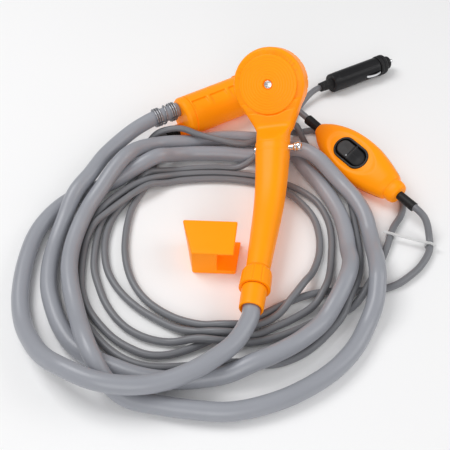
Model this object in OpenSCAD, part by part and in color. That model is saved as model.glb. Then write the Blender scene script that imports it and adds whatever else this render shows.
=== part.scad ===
// Twelve volt camp shower set: submersible pump, hose, hand shower, cord switch, plug and hanger.
// Millimetres, Z up, laid out on a table as it comes out of its bag.

/* [Hose] */
// Outside diameter of the water hose
hose_d = 15; // [12:0.5:18]
// Bore of the water hose
hose_bore = 10; // [8:0.5:11]
// Diameter of the electric cord
cord_d = 6.5; // [5:0.25:7]
// Diameter of the wire of the hose clamp
clamp_wire_d = 1.8; // [1.2:0.1:2]
// Wraps in each bunch of the hose clamp
clamp_wraps = 3; // [2:1:4]

/* [Hand shower] */
// Outside diameter of the shower head
head_d = 71; // [60:1:80]
// Depth of the moulded head shell
head_depth = 17; // [14:0.5:22]
// Diameter of the disc on the back of the head
disc_d = 58; // [46:1:59]
// How far the back disc stands proud
disc_proud = 2.4; // [1:0.2:3]
// Angle between the head and the handle
head_bend = 36; // [28:1:44]
// Handle length from the union nut to the head
handle_len = 168; // [150:1:185]
// Angle through which the handle bows towards its back
handle_bow = 19; // [0:1:24]
// Handle diameter at the union nut
handle_d_low = 22; // [20:0.5:24]
// Handle diameter at the valve
handle_d_high = 32; // [29:0.5:34]
// Bore of the handle
handle_bore = 13; // [9:0.5:14]
// Wall of the moulded head
head_wall = 3; // [2:0.25:4]
// Diameter of the shut off valve pin
valve_d = 6.4; // [5:0.2:7]
// Travel of the shut off valve pin
valve_travel = 7; // [4:0.5:8]
// Diameter of the union nut
union_d = 28; // [26.5:0.5:32]
// Length of the union nut
union_len = 22; // [18:0.5:26]
// Flats around the union nut
union_flats = 14; // [10:1:18]
// Length of the hose sleeve
sleeve_len = 20; // [15:0.5:26]
// Diameter of the hose sleeve
sleeve_d = 20.7; // [18.6:0.1:23]
// Rings of holes in the spray plate
spray_rings = 4; // [2:1:5]
// Diameter of a spray hole
spray_hole_d = 1.4; // [0.8:0.1:1.8]

/* [Pump] */
// Diameter of the pump casing
pump_d = 42; // [39:0.5:48]
// Length of the pump casing
pump_len = 64; // [58:1:80]
// Wall of the pump casing
pump_wall = 2.2; // [1.6:0.1:3]
// Length of the front cap
cap_len = 9; // [7:0.5:12]
// Length of the strainer
strainer_len = 30; // [26:0.5:36]
// Slots around the strainer
strainer_slots = 16; // [10:1:20]
// Length of the hose barb
barb_len = 30; // [24:1:36]
// Diameter of the motor can
motor_d = 34; // [30:0.5:35]
// Length of the motor can
motor_len = 46; // [40:1:50]
// Diameter of the motor shaft
shaft_d = 3; // [2:0.25:4]
// Diameter of the impeller
impeller_d = 30; // [24:1:32]
// Blades of the impeller
impeller_blades = 6; // [3:1:8]

/* [Switch] */
// Length of the switch housing
switch_len = 116; // [100:1:130]
// Width of the switch housing
switch_w = 46; // [42:1:52]
// Height of the switch housing
switch_h = 30; // [27:0.5:34]
// Length of the rocker
rocker_len = 33; // [28:0.5:36]
// Width of the rocker
rocker_w = 15; // [12:0.5:16.5]
// Rocking angle from off to on
rocker_throw = 14; // [8:1:16]
// Length of a cord boot
boot_len = 19; // [14:0.5:24]

/* [Plug] */
// Diameter of the plug barrel
plug_d = 20; // [18:0.2:21]
// Length of the plug barrel
plug_len = 50; // [44:1:60]
// Length of the plug boot
plug_boot_len = 16; // [12:0.5:20]
// Length of the nose ring
nose_len = 15; // [12:0.5:18]
// Travel of the sprung centre tip
tip_travel = 3; // [1.5:0.25:4]
// Diameter of the centre tip
tip_d = 6; // [4:0.2:6.4]
// How far each side clip stands out
clip_out = 1.6; // [1:0.1:2]
// Diameter of the glass fuse
fuse_d = 6; // [5:0.2:6.4]
// Length of the glass fuse
fuse_len = 30; // [20:0.5:32]

/* [Hanger] */
// Width of the hanger along its far edge
hanger_w = 49.8; // [44:0.2:56]
// Width of the hanger along its near edge
hanger_w_near = 36.4; // [33:0.2:40]
// Depth of the hanger
hanger_depth = 37; // [32:1:45]
// Height of the hanger
hanger_h = 28; // [27.5:0.5:34]
// Width of the channel that hooks over an edge
channel_w = 14.2; // [10:0.2:18]
// Height of the channel
channel_h = 21; // [16:0.5:21.5]
// Thickness of the hanger foot
lip_t = 4.5; // [3:0.25:5]

/* [Fits] */
// Gap between pieces that only lie near each other
gap = 0.3; // [0.2:0.05:0.5]
// Radial running fit of pins and shafts
run_fit = 0.05; // [0.02:0.01:0.1]

/* [Hidden] */
$fn = 64;
eps = 0.01;
hose_r = hose_d / 2;
bore_r = hose_bore / 2;
cord_r = cord_d / 2;
// Sides of the swept tubes
hose_sides = 10;
cord_sides = 6;
// A barb that lies inside the flats of the swept bore
barb_r = bore_r * cos(180 / hose_sides) - 0.08;
// Where each piece of the set lies on the table
lay = [-2.6, -46.54, 0];
handset_at = [22.2, -107.5, 22];
handset_turn = 80.5;
handset_rise = 0.2;
handset_roll = -16.5;
pump_at = [-38, 134, pump_d / 2 + 1.1];
pump_turn = 32;
switch_mid = [128, 73, 0];
switch_turn = -55;
switch_roll = 16;
plug_at = [106, 196, plug_d / 2];
plug_turn = 30;
hanger_at = [-10, -59, 0];

// Route of the hose from the pump to the hand shower, chosen by hand on the table
hose_mid = [
    [-95, 102, 27], [-117, 72, 25], [-129, 44, 25], [-141, 20, 23], [-149, -4, 13], [-154, -28, 8],
    [-155, -55, 8], [-152, -80, 8], [-145, -101, 8], [-136, -120, 8], [-124, -137, 8], [-109, -149, 8],
    [-90, -158, 8], [-70, -166, 8], [-50, -170, 8], [-28, -170, 8], [0, -166, 9], [22, -159, 15],
    [42, -150, 16], [61, -138, 15.5], [80, -120, 14], [93, -101, 19], [104, -79, 22], [110, -58, 16],
    [111, -38, 9], [111, -18, 8], [109, 2, 8], [104, 20, 8], [96, 40, 8], [88, 56, 8], [80, 70, 8],
    [73, 86, 8], [60, 100, 8], [41, 111, 8], [22, 114, 8], [2, 115, 8], [-18, 112, 8], [-36, 107, 9],
    [-52, 102, 13], [-68, 95, 17], [-85, 80, 25], [-97, 63, 30], [-108, 45, 27], [-117, 28, 22],
    [-126, 10, 18], [-132, -12, 17], [-136, -36, 15.5], [-136, -60, 15.5], [-132, -82, 15.5],
    [-126, -102, 15.5], [-119, -122, 18], [-112, -140, 23], [-103, -158, 23], [-92, -174, 15],
    [-74, -186, 8], [-48, -192, 8], [-20, -196, 8], [5, -197, 8], [32, -191, 8], [58, -180, 8],
    [84, -163, 8], [104, -142, 8], [117, -120, 9], [126, -100, 16], [130, -78, 22], [132, -58, 19],
    [133, -38, 12], [133, -18, 9], [130, 2, 13], [123, 20, 15.5], [114.3, 36.3, 15.5], [103.2, 51.8, 19],
    [91.3, 66.4, 24], [78, 77, 25], [61, 83, 21], [46, 86, 12], [28, 87, 8], [4, 90, 8], [-22, 91, 8],
    [-40, 89, 9], [-54, 82, 14], [-68, 71, 22], [-88, 59, 18], [-110, 47, 10], [-133, 36, 8],
    [-152, 22, 8], [-166, 2, 8], [-174, -20, 8], [-177, -45, 8], [-177, -70, 8], [-174, -95, 8],
    [-167, -118, 9], [-156, -138, 14], [-142, -156, 20], [-122, -171, 27], [-98, -182, 28],
    [-72, -185, 26], [-48, -181, 24], [-26, -172, 24], [-8, -160, 24], [8, -145, 23]];

// Route of the cord from the switch to the pump
pump_cord_mid = [
    [186, -10, 14], [188, -23, 5], [185, -37, 4], [174, -54, 4], [160, -67, 4], [148, -75, 4],
    [132, -80, 4], [112, -81, 4], [95, -81, 4], [76, -84, 4], [60, -90, 4], [45, -98, 4], [28, -108, 4],
    [8, -120, 4], [-12, -131, 4], [-30, -140, 4], [-46, -145, 4], [-62, -145, 4], [-77, -139, 4],
    [-92, -129, 4], [-106, -114, 4], [-117, -98, 4], [-124, -80, 4], [-127, -62, 4], [-128, -42, 4],
    [-127, -22, 5], [-121, -7, 10], [-111, 5, 11], [-99, 19, 11], [-87, 32, 11], [-73, 43, 11],
    [-58, 51, 5], [-40, 56, 4], [-10, 58, 4], [20, 55, 4], [44, 48, 4], [62, 37, 4], [75, 22, 4],
    [84, 4, 4], [87, -18, 4], [85, -40, 4], [78, -60, 5], [69, -76, 11], [57, -93, 11], [44, -108, 7],
    [27, -117, 6], [12, -120, 11], [-4, -120, 11], [-20, -117, 6], [-40, -110, 4], [-57, -100, 4],
    [-70, -88, 4], [-80, -73, 4], [-87, -55, 4], [-91, -35, 4], [-92, -14, 4], [-91, 5, 4], [-88, 22, 4],
    [-81, 40, 4], [-75, 58, 4], [-72, 78, 4], [-72, 95, 4]];

// Route of the cord from the plug to the switch
plug_cord_mid = [
    [80, 168, 4], [73, 150, 4], [74, 138, 5], [76, 128, 12], [84.5, 107, 5], [95, 81, 4], [106, 61.5, 4], [116, 45, 4],
    [121, 28, 4], [122, 5, 4], [122, -15, 4], [122, -35, 4], [120, -55, 6], [115, -74, 11],
    [106, -93, 11.5], [97, -112, 9.5], [79, -131, 4], [60, -146, 4], [38, -154, 4], [15, -152, 4],
    [-10, -153, 4], [-38, -156, 4], [-60, -156, 4], [-79, -150, 4], [-95, -139, 4], [-109, -124, 4],
    [-121, -108, 4], [-131, -88, 4], [-136, -66, 4], [-137, -42, 4], [-134, -18, 4], [-126, 0, 4],
    [-114, 15, 11], [-102, 30, 11], [-88, 43, 11], [-71, 52, 11], [-52, 62, 5], [-30, 65.5, 4],
    [-8, 66, 4], [14, 64, 4], [36, 60, 4], [52, 54, 4], [66, 47, 4], [79, 37, 4], [89, 25, 4],
    [95, 10, 4], [98, -6, 4], [98, -24, 4], [96, -42, 4], [93, -60, 5], [87, -80, 11], [76, -97, 6],
    [59, -109, 4], [42, -118, 4], [24, -126, 4], [7, -128, 11], [-10, -127, 11], [-25, -124, 6],
    [-42, -119, 4], [-60, -109, 4], [-75, -98, 4], [-88, -85, 4], [-98, -71, 4], [-105, -56, 4],
    [-109, -38, 4], [-110, -18, 4], [-107, 2, 4], [-101, 17, 4], [-94, 30, 4], [-88, 43, 3.6],
    [-84, 54, 5.5], [-75, 60.5, 11], [-61, 66.5, 7], [-48, 70.5, 4], [-30, 73, 4], [-8, 74, 4], [12, 73, 5],
    [27, 76, 13], [37, 85, 21.5], [45, 98, 21], [54, 110, 19.5], [64, 121, 11], [77, 128, 4],
    [98, 132, 3.6], [119, 119.5, 3.6], [132, 98, 3.6], [145, 79, 3.6], [160, 58.5, 3.6], [171, 37.5, 3.6], [169, 13, 3.8],
    [157, -8, 4], [149, -28, 4], [141, -46, 4], [133, -62, 5], [125, -77, 11], [117, -90, 9],
    [106, -100, 4], [92, -106, 4], [75, -113, 4], [58, -122, 4], [40, -129, 4], [20, -134, 5], [-2, -136, 11],
    [-22, -134, 11], [-44, -133, 4], [-62, -130, 4], [-78, -122, 4], [-91, -110, 4], [-102, -94, 4],
    [-110, -76, 4], [-116, -58, 4], [-118, -40, 4], [-118, -20, 4], [-116, -2, 4], [-111, 14, 3.6],
    [-103, 32, 3.6], [-95, 48, 3.6], [-88, 62, 3.6], [-84, 78, 4], [-82, 93, 6], [-77, 105, 13],
    [-66, 111, 20], [-46, 112.5, 23], [-28, 107, 20], [-10, 101, 19], [8, 96, 18], [23, 96, 17],
    [34, 103, 18], [40, 116, 20], [46, 132, 18], [54, 146, 18], [65, 152, 19]];

function unit(v) = v / norm(v);
// Direction of the route at a point, straight at both ends
function along(p, i) = unit(p[min(i + 1, len(p) - 1)] - p[max(i - 1, 0)]);
// Level side direction of a ring
function side_of(t) = unit(cross(t, [0.02, 0.01, 1]));
// Ring of points round a route point
function ring(p, i, r, n) =
    let (t = along(p, i), s = side_of(t), u = cross(s, t))
    [for (k = [0:n - 1]) p[i] + r * (cos((k + 0.5) * 360 / n) * s + sin((k + 0.5) * 360 / n) * u)];
function rings(p, r, n) = [for (i = [0:len(p) - 1]) for (q = ring(p, i, r, n)) q];
// Faces of a wall between rings, turned over for a bore
function wall(m, n, base, flip) = [for (i = [0:m - 2], k = [0:n - 1])
    let (a = base + i * n + k, b = base + i * n + (k + 1) % n, c = a + n, d = b + n)
    each flip ? [[a, b, d], [a, d, c]] : [[a, d, b], [a, c, d]]];
// Least gap of a tube to itself, measured on its ring centres
function apart(p, r, skip) =
    min([for (i = [0:len(p) - 1 - skip], j = [i + skip:len(p) - 1]) norm(p[i] - p[j])]) - 2 * r;

// Solid cord swept along its route
module solid_tube(p, r, n) {
    m = len(p);
    polyhedron(
        points = concat(rings(p, r, n), [p[0], p[m - 1]]),
        faces = concat(wall(m, n, 0, false),
            [for (k = [0:n - 1]) [m * n, k, (k + 1) % n]],
            [for (k = [0:n - 1]) [m * n + 1, (m - 1) * n + (k + 1) % n, (m - 1) * n + k]]),
        convexity = 10);
}

// Hose with its bore swept along its route
module open_tube(p, r, r_in, n) {
    m = len(p);
    polyhedron(
        points = concat(rings(p, r, n), rings(p, r_in, n)),
        faces = concat(wall(m, n, 0, false), wall(m, n, m * n, true),
            [for (k = [0:n - 1]) let (l = (k + 1) % n) each
                [[k, l, m * n + l], [k, m * n + l, m * n + k]]],
            [for (k = [0:n - 1]) let (l = (k + 1) % n, a = (m - 1) * n, b = (2 * m - 1) * n) each
                [[a + k, b + l, a + l], [a + k, b + k, b + l]]]),
        convexity = 10);
}

// Turn the Z axis of a piece to lie along X
module lie() rotate([0, 90, 0]) children();
// Ring or disc along X between two stations
module tube_x(x0, x1, r, r_in = 0) translate([x0, 0, 0]) lie() difference() {
    cylinder(h = x1 - x0, r = r);
    if (r_in > 0) translate([0, 0, -1]) cylinder(h = x1 - x0 + 2, r = r_in);
}
// Revolve a profile of stations and radii round X
module turned_x(profile) lie() rotate_extrude() polygon([for (q = profile) [q[1], q[0]]]);
module at_handset() translate(lay + handset_at) rotate([0, 0, handset_turn]) rotate([0, -handset_rise, 0])
    rotate([handset_roll, 0, 0]) children();
module at_upper() at_handset() translate([bow_x, 0, 0]) rotate([0, -handle_bow, 0])
    translate([-bow_x, 0, 0]) children();
module at_head() at_upper() translate(head_at) rotate([0, -head_bend, 0]) children();
module at_pump() translate(lay + pump_at) rotate([0, 0, pump_turn]) children();
module at_switch() translate(lay + switch_mid + [0, 0, switch_lift + sw_h]) rotate([0, 0, switch_turn])
    rotate([switch_roll, 0, 0]) translate([0, 0, -sw_h]) children();
module at_plug() translate(lay + plug_at) rotate([0, 0, plug_turn]) children();
module at_hanger() translate(lay + hanger_at) children();
// Places on the table of points given in a piece's own frame
function spin_z(a, v) = [cos(a) * v[0] - sin(a) * v[1], sin(a) * v[0] + cos(a) * v[1], v[2]];
function tip_up(a, v) = [cos(a) * v[0] - sin(a) * v[2], v[1], sin(a) * v[0] + cos(a) * v[2]];
function on_handset(x) = handset_at + spin_z(handset_turn, tip_up(handset_rise, [x, 0, 0]));
function on_pump(v) = pump_at + spin_z(pump_turn, v);
function on_switch(x) = switch_mid + [0, 0, switch_lift + sw_h] + spin_z(switch_turn, [x, 0, 0]);
function on_plug(x) = plug_at + spin_z(plug_turn, [x, 0, 0]);

// Stations along the hand shower
handle_x0 = sleeve_len + union_len;
handle_x1 = handle_x0 + handle_len;
head_r = head_d / 2;
ring_depth = 6;
plate_t = 2.7;
head_all = head_depth + ring_depth;
head_at = [handle_x1 + head_r * cos(head_bend) - head_all / 2 * sin(head_bend), 0,
    head_r * sin(head_bend) + head_all / 2 * cos(head_bend) - 3];
disc_seat = 1.6;
valve_x = handle_x1 - 42;
bow_x = handle_x0 + handle_len / 2;
valve_r = valve_d / 2;
handle_r0 = handle_d_low / 2;
handle_r1 = handle_d_high / 2;
spigot_r = handle_r0 - 1.4;
nut_wall = 2.4;
flange_t = 2.6;
washer_t = 1.8;
flange_x = sleeve_len + nut_wall + 0.2;
spigot_x = flange_x + flange_t + washer_t;
// Handle radius grows in a soft curve from the union nut to the valve
function handle_r(x) = handle_r0 + (handle_r1 - handle_r0)
    * pow(sin(90 * min(1, max(0, (x - handle_x0) / (valve_x - handle_x0)))), 1.3);
ridge_x = [valve_x + 9.5, valve_x + 20.5];

module handset_shell() color("orange") {
    difference() {
        union() {
            at_handset() {
                turned_x(concat([[handle_x0 + gap, 0]],
                    [for (k = [0:8]) let (x = handle_x0 + gap + k * (bow_x - handle_x0 - gap) / 8)
                        [x, handle_r(x) - (k == 0 ? 0.8 : 0)]], [[bow_x, 0]]));
                translate([bow_x, 0, 0]) sphere(r = handle_r(bow_x) + 0.3);
                tube_x(spigot_x, handle_x0 + gap + 1, spigot_r);
            }
            at_upper() {
                turned_x(concat([[bow_x, 0]], [for (k = [0:8]) let (x = bow_x + k * (handle_x1 - bow_x) / 8)
                    [x, handle_r(x) - (k > 6 ? (k - 6) * 0.8 : 0)]],
                    [[handle_x1 + 5, handle_r1 - 4], [handle_x1 + 5, 0]]));
                for (x = ridge_x) turned_x([[x - 1.6, 5], [x - 1.6, handle_r1 - 0.4], [x - 0.8, handle_r1 + 0.9],
                    [x + 0.8, handle_r1 + 0.9], [x + 1.6, handle_r1 - 0.4], [x + 1.6, 5]]);
            }
            at_head() rotate_extrude() polygon([[0, 0], [head_r - 6, 0], [head_r - 3.4, -0.8],
                [head_r - 1.2, -2.8], [head_r, -6], [head_r, -head_depth], [0, -head_depth]]);
        }
        at_head() {
            translate([0, 0, -head_depth - 30])
                cylinder(h = head_depth - disc_seat - head_wall + 30, r = head_r - head_wall);
            translate([0, 0, -disc_seat]) cylinder(h = disc_seat + head_depth, r = disc_d / 2 + gap);
            translate([0, 0, -head_depth - ring_depth - gap]) cylinder(h = ring_depth + gap, r = head_r + gap);
            translate([0, 0, -head_depth]) cylinder(h = head_depth + 1, r = screw_r + run_fit);
        }
        at_handset() {
            tube_x(spigot_x - 1, bow_x, handle_bore / 2);
            translate([bow_x, 0, 0]) sphere(r = handle_bore / 2 + 0.5);
        }
        at_upper() {
            tube_x(bow_x, handle_x1 + 3, handle_bore / 2);
            translate([valve_x, 0, 0]) rotate([90, 0, 0]) cylinder(h = handle_d_high * 2, r = valve_r + run_fit, center = true);
        }
    }
    at_head() translate([0, 0, -head_depth + 6]) difference() {
        cylinder(h = head_depth - 6 - disc_seat - head_wall, r = screw_r + 3);
        translate([0, 0, -1]) cylinder(h = head_depth, r = screw_r + run_fit);
    }
}
screw_r = 1.6;
screw_head_r = 4.4;
module head_back_disc() color("orange") at_head() difference() {
    rotate_extrude() polygon([[0, -disc_seat], [disc_d / 2, -disc_seat], [disc_d / 2, disc_proud - 0.9],
        [disc_d / 2 - 0.9, disc_proud], [disc_d / 2 - 4, disc_proud], [disc_d / 2 - 5, disc_proud - 0.5], [0, disc_proud - 0.5]]);
    translate([0, 0, -disc_seat - 1]) cylinder(h = 20, r = screw_r + gap);
    translate([0, 0, disc_proud - 1.5]) cylinder(h = 20, r = screw_head_r + gap);
}
module disc_screw() color("silver") at_head() difference() {
    union() {
        translate([0, 0, -head_depth + 8]) cylinder(h = head_depth - 8 + disc_proud, r = screw_r);
        translate([0, 0, disc_proud - 1.5]) rotate_extrude()
            polygon([[0, 0], [screw_head_r, 0], [screw_head_r, 0.8], [screw_head_r - 1.2, 1.9], [0, 2.3]]);
    }
    for (a = [45, 135]) rotate([0, 0, a]) translate([-2.4, -0.45, disc_proud - 0.4]) cube([4.8, 0.9, 3]);
}
module spray_plate() color("white") at_head() translate([0, 0, -head_depth - 0.5 - plate_t]) difference() {
    cylinder(h = plate_t, r = head_r - 4);
    for (k = [1:spray_rings], j = [0:6 * k - 1]) rotate([0, 0, j * 60 / k])
        translate([k * (head_r - 10) / spray_rings, 0, -1]) cylinder(h = plate_t + 2, r = spray_hole_d / 2, $fn = 16);
}
module spray_seal() color("dimgray") at_head() translate([0, 0, -head_depth - 0.5])
    difference() {
        cylinder(h = 1.8, r = min(head_r - head_wall - gap, head_r - 4.2));
        translate([0, 0, -1]) cylinder(h = 4, r = head_r - head_wall - 3);
    }
module spray_ring() color("orange") at_head() difference() {
    rotate_extrude() polygon([[head_r - 7, -head_all], [head_r - 1.5, -head_all], [head_r, -head_all + 1.5],
        [head_r, -head_depth - 0.2], [head_r - 3.8, -head_depth - 0.2], [head_r - 3.8, -head_depth - 0.5 - plate_t],
        [head_r - 7, -head_depth - 0.5 - plate_t]]);
    for (j = [0:23]) rotate([0, 0, j * 15]) translate([head_r + 0.5, 0, -head_all - 1]) cylinder(h = ring_depth - 1, r = 1.1, $fn = 16);
}
cap_reach = 10;
cap_l = 5;
pin_x0 = -handle_r1 - cap_reach;
pin_x1 = handle_r1 + 3;
module on_valve() at_upper() translate([valve_x, 0, 0]) rotate([-90, 0, 0]) children();
module valve_pin() color("silver") on_valve() difference() {
    union() {
        translate([0, 0, pin_x0]) cylinder(h = pin_x1 - pin_x0, r = valve_r);
        translate([0, 0, pin_x0 - cap_l + 1]) cylinder(h = cap_l, r = valve_r - 1.2);
    }
    for (z = [-seal_at, seal_at]) translate([0, 0, z - 1]) difference() {
        cylinder(h = 2, r = valve_r + 1);
        translate([0, 0, -1]) cylinder(h = 4, r = valve_r - 1);
    }
}
seal_at = handle_bore / 2 + 3;
module valve_seals() color("black") on_valve() for (z = [-seal_at, seal_at]) translate([0, 0, z - 0.95]) difference() {
    cylinder(h = 1.9, r = valve_r - 0.02);
    translate([0, 0, -1]) cylinder(h = 4, r = valve_r - 0.97);
}
module valve_cap() color("silver") on_valve() translate([0, 0, pin_x0 - cap_l]) difference() {
    rotate_extrude() polygon([[0, 0], [valve_r + 0.6, 0], [valve_r + 1.6, 0.9], [valve_r + 1.6, cap_l - 0.6],
        [valve_r + 1, cap_l], [0, cap_l]]);
    translate([0, 0, 0.99]) cylinder(h = cap_l, r = valve_r - 1.18);
}
module union_nut() color("orange") at_handset() difference() {
    intersection() {
        turned_x([[sleeve_len, 0], [sleeve_len, union_d / 2 - 3.4], [sleeve_len + 2, union_d / 2 - 2],
            [sleeve_len + union_len * 0.6, union_d / 2 + 0.4], [handle_x0 - 1, union_d / 2 - 0.5],
            [handle_x0, union_d / 2 - 1.4], [handle_x0, 0]]);
        translate([sleeve_len - 1, 0, 0]) lie() linear_extrude(union_len + 2)
            polygon([for (k = [0:union_flats - 1]) union_d / 2 / cos(180 / union_flats) * 0.985
                * [cos(k * 360 / union_flats), sin(k * 360 / union_flats)]]);
    }
    tube_x(sleeve_len + nut_wall, handle_x0 + 1, spigot_r + gap);
    tube_x(sleeve_len - 1, handle_x0, hose_r + 0.8);
}
module tail_spigot() color("white") at_handset() difference() {
    union() {
        tube_x(flange_x, flange_x + flange_t, spigot_r - 0.3);
        turned_x([[2, 0], [2, barb_r - 0.6], [5, barb_r], [flange_x + 1, barb_r], [flange_x + 1, 0]]);
    }
    tube_x(0, flange_x + flange_t + 1, barb_r - 1.4);
}
module tail_washer() color("black") at_handset() tube_x(flange_x + flange_t, spigot_x, spigot_r - 0.3, barb_r + 1);
module hose_sleeve() color("orange") at_handset() difference() {
    turned_x([[0, 0], [0, sleeve_d / 2 - 0.8], [0.8, sleeve_d / 2], [sleeve_len * 0.55, sleeve_d / 2],
        [sleeve_len * 0.55 + 0.5, sleeve_d / 2 - 0.6], [sleeve_len - 0.3, sleeve_d / 2 - 0.6], [sleeve_len - 0.3, 0]]);
    tube_x(-1, sleeve_len + 1, hose_r + 0.12);
}

// Stations along the pump, from the front cap to the strainer
pump_r = pump_d / 2;
pump_in = pump_r - pump_wall;
barb_y = 6;
barb_z = 8;
gland_y = -2;
gland_z = -12.5;
gland_r = 5;
gland_len = 14;
boss_len = 6;
cap_x = -cap_len;
gland_x = cap_x - boss_len;
end_t = 4;
motor_x0 = 9;
motor_x1 = motor_x0 + motor_len;
motor_r = motor_d / 2;
can_t = 1.5;
volute_x = motor_x1 + 0.2;
volute_t = 4;
shaft_r = shaft_d / 2;
seal_r = shaft_r + 3;
impeller_x = max(volute_x + volute_t + 1, pump_len - 2);
impeller_w = 7;
shaft_x1 = impeller_x + impeller_w + 1.5;
strainer_x1 = pump_len + strainer_len;
flow_gap = 3.2;

hose_end_x = flange_x - 0.3;
hose_route = concat([on_pump([cap_x - gap, barb_y, barb_z]), on_pump([cap_x - 16, barb_y, barb_z]),
    on_pump([cap_x - 31, barb_y, barb_z])], hose_mid,
    [on_handset(-hose_d - 1), on_handset(0), on_handset(hose_end_x)]);
echo(hose_least_gap = apart(hose_route, hose_r, 4));
module shower_hose() color("gray") translate(lay) open_tube(hose_route, hose_r, bore_r, hose_sides);

wire_r = clamp_wire_d / 2;
clamp_turn = 14;
clamp_r = (hose_r + 0.2 + wire_r) / cos(180 / clamp_turn) + 0.1;
clamp_pitch = clamp_wire_d + 0.6;
bunch = clamp_wraps * clamp_pitch;
clamp_gap = 10;
// Wire station and angle: a bunch of wraps, one long wrap across, and a second bunch
function clamp_x(t) = t <= clamp_wraps ? t * clamp_pitch
    : t <= clamp_wraps + 1 ? bunch + (t - clamp_wraps) * clamp_gap
    : bunch + clamp_gap + (t - clamp_wraps - 1) * clamp_pitch;
clamp_path = [for (k = [0:clamp_turn * (2 * clamp_wraps + 1)]) let (t = k / clamp_turn, a = 360 * t - 60)
    on_pump([cap_x - 4 - clamp_x(t), barb_y + clamp_r * cos(a), barb_z + clamp_r * sin(a)])];
clamp_tail = [let (a = 360 * (2 * clamp_wraps + 1) - 60, x = cap_x - 4 - clamp_x(2 * clamp_wraps + 1) - 0.5)
    on_pump([x, barb_y + clamp_r * cos(a) + 5 * sin(-a), barb_z + clamp_r * sin(a) + 5 * cos(a) - 1])];
echo(clamp_least_gap = apart(clamp_path, wire_r, 8));
module hose_clamp() color("silver") translate(lay) solid_tube(concat(clamp_path, clamp_tail), wire_r, 6);

module pump_cap() color("orange") at_pump() difference() {
    union() {
        turned_x([[cap_x, 0], [cap_x, pump_r - 4], [cap_x + 1.2, pump_r - 1.6], [cap_x + 3.5, pump_r], [-0.8, pump_r],
            [-0.8, pump_r - 0.6], [0, pump_r - 0.6], [0, pump_in - 0.1], [end_t, pump_in - 0.1], [end_t, 0]]);
        translate([0, barb_y, barb_z]) turned_x([[cap_x - barb_len, 0], [cap_x - barb_len, barb_r - 0.9],
            [cap_x - barb_len + 4, barb_r], [cap_x + 1, barb_r], [cap_x + 1, 0]]);
        translate([0, gland_y, gland_z]) tube_x(gland_x, cap_x + 3, gland_r + 1.6);
    }
    translate([0, barb_y, barb_z]) tube_x(cap_x - barb_len - 1, end_t + 1, barb_r - 1.4);
    translate([0, gland_y, gland_z]) tube_x(gland_x + 2, end_t + 1, 2.4);
    tube_x(-2, end_t + 1, pump_in - 3);
}
module cord_gland() color("black") at_pump() translate([0, gland_y, gland_z]) difference() {
    turned_x(concat([[gland_x - gland_len, 0], [gland_x - gland_len, cord_r + 1.1]],
        [for (k = [0:3], e = [0, 1, 2, 3]) let (x = gland_x - gland_len + 0.5 + k * 2.6 + [0, 0.3, 1.7, 2][e])
            [x, cord_r + 1.3 + k * 0.12 - (e == 0 || e == 3 ? 0.5 : 0)]],
        [[gland_x - 2.6, gland_r + 1.2], [gland_x, gland_r + 1.2], [gland_x, 0]]));
    tube_x(gland_x - gland_len - 1, gland_x + 1, cord_r + run_fit);
}
module pump_casing() color("orange") at_pump() difference() {
    union() {
        tube_x(0, pump_len, pump_r);
        turned_x([[pump_len - 5, 2], [pump_len - 5, pump_r], [pump_len - 4, pump_r + 1.1], [pump_len, pump_r + 1.1], [pump_len, 2]]);
    }
    tube_x(-1, pump_len + 1, pump_in);
    tube_x(pump_len - 1, pump_len + 1, pump_in + 1.9, pump_in + 0.5);
}
module casing_seal() color("black") at_pump() tube_x(pump_len - 0.98, pump_len + 0.95, pump_in + 1.85, pump_in + 0.55);
module strainer() color("orange") at_pump() difference() {
    turned_x([[pump_len, 0], [pump_len, pump_r + 1.1], [pump_len + 4, pump_r + 1.1], [pump_len + 5, pump_r - 0.2],
        [strainer_x1 - 4, pump_r - 0.8], [strainer_x1 - 1.2, pump_r - 2], [strainer_x1, pump_r - 4.5], [strainer_x1, 0]]);
    tube_x(pump_len - 1, strainer_x1 - 3, pump_in - 0.4);
    tube_x(pump_len - 1, pump_len + 1, pump_in + 1.9, pump_in + 0.5);
    for (k = [0:strainer_slots - 1]) rotate([k * 360 / strainer_slots, 0, 0])
        translate([pump_len + 9, -1.3, pump_in - 4]) cube([strainer_len - 15, 2.6, 12]);
    for (k = [0:11]) rotate([k * 30, 0, 0]) translate([strainer_x1 - 5, 0, pump_r * 0.5]) lie() cylinder(h = 8, r = 1.6, $fn = 24);
}
module motor_end() color("gray") at_pump() difference() {
    tube_x(end_t + 0.2, motor_x0, pump_in - gap);
    for (k = [0:7]) rotate([k * 45, 0, 0]) translate([end_t - 1, 0, motor_r - 1]) lie() cylinder(h = 12, r = 2, $fn = 24);
    tube_x(motor_x0 - 3, motor_x0 + 1, shaft_r + run_fit);
}
module motor_can() color("silver") at_pump() difference() {
    tube_x(motor_x0, motor_x1, motor_r);
    tube_x(motor_x0 - 1, motor_x1 - can_t - 1, motor_r - can_t);
    tube_x(motor_x0, motor_x1 + 1, shaft_r + run_fit);
}
module rotor_shaft() color("silver") at_pump() union() {
    tube_x(motor_x0 - 2.6, shaft_x1, shaft_r);
    difference() {
        tube_x(motor_x0 + 8, motor_x1 - 12, motor_r - can_t - 3);
        for (k = [0:8]) rotate([k * 40, 0, 0]) translate([motor_x0, -0.8, motor_r - can_t - 7]) cube([motor_len, 1.6, 8]);
    }
}
module volute_plate() color("gray") at_pump() difference() {
    tube_x(volute_x, volute_x + volute_t, pump_in - gap);
    tube_x(volute_x + 1, volute_x + volute_t + 1, seal_r + 0.05);
    tube_x(volute_x - 1, volute_x + volute_t, shaft_r + gap);
    for (k = [0:7]) rotate([k * 45, 0, 0]) translate([volute_x - 1, 0, motor_r - 1]) lie() cylinder(h = 12, r = 2, $fn = 24);
}
module shaft_seal() color("black") at_pump() tube_x(volute_x + 1, volute_x + volute_t - 0.2, seal_r, shaft_r + run_fit);
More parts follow.
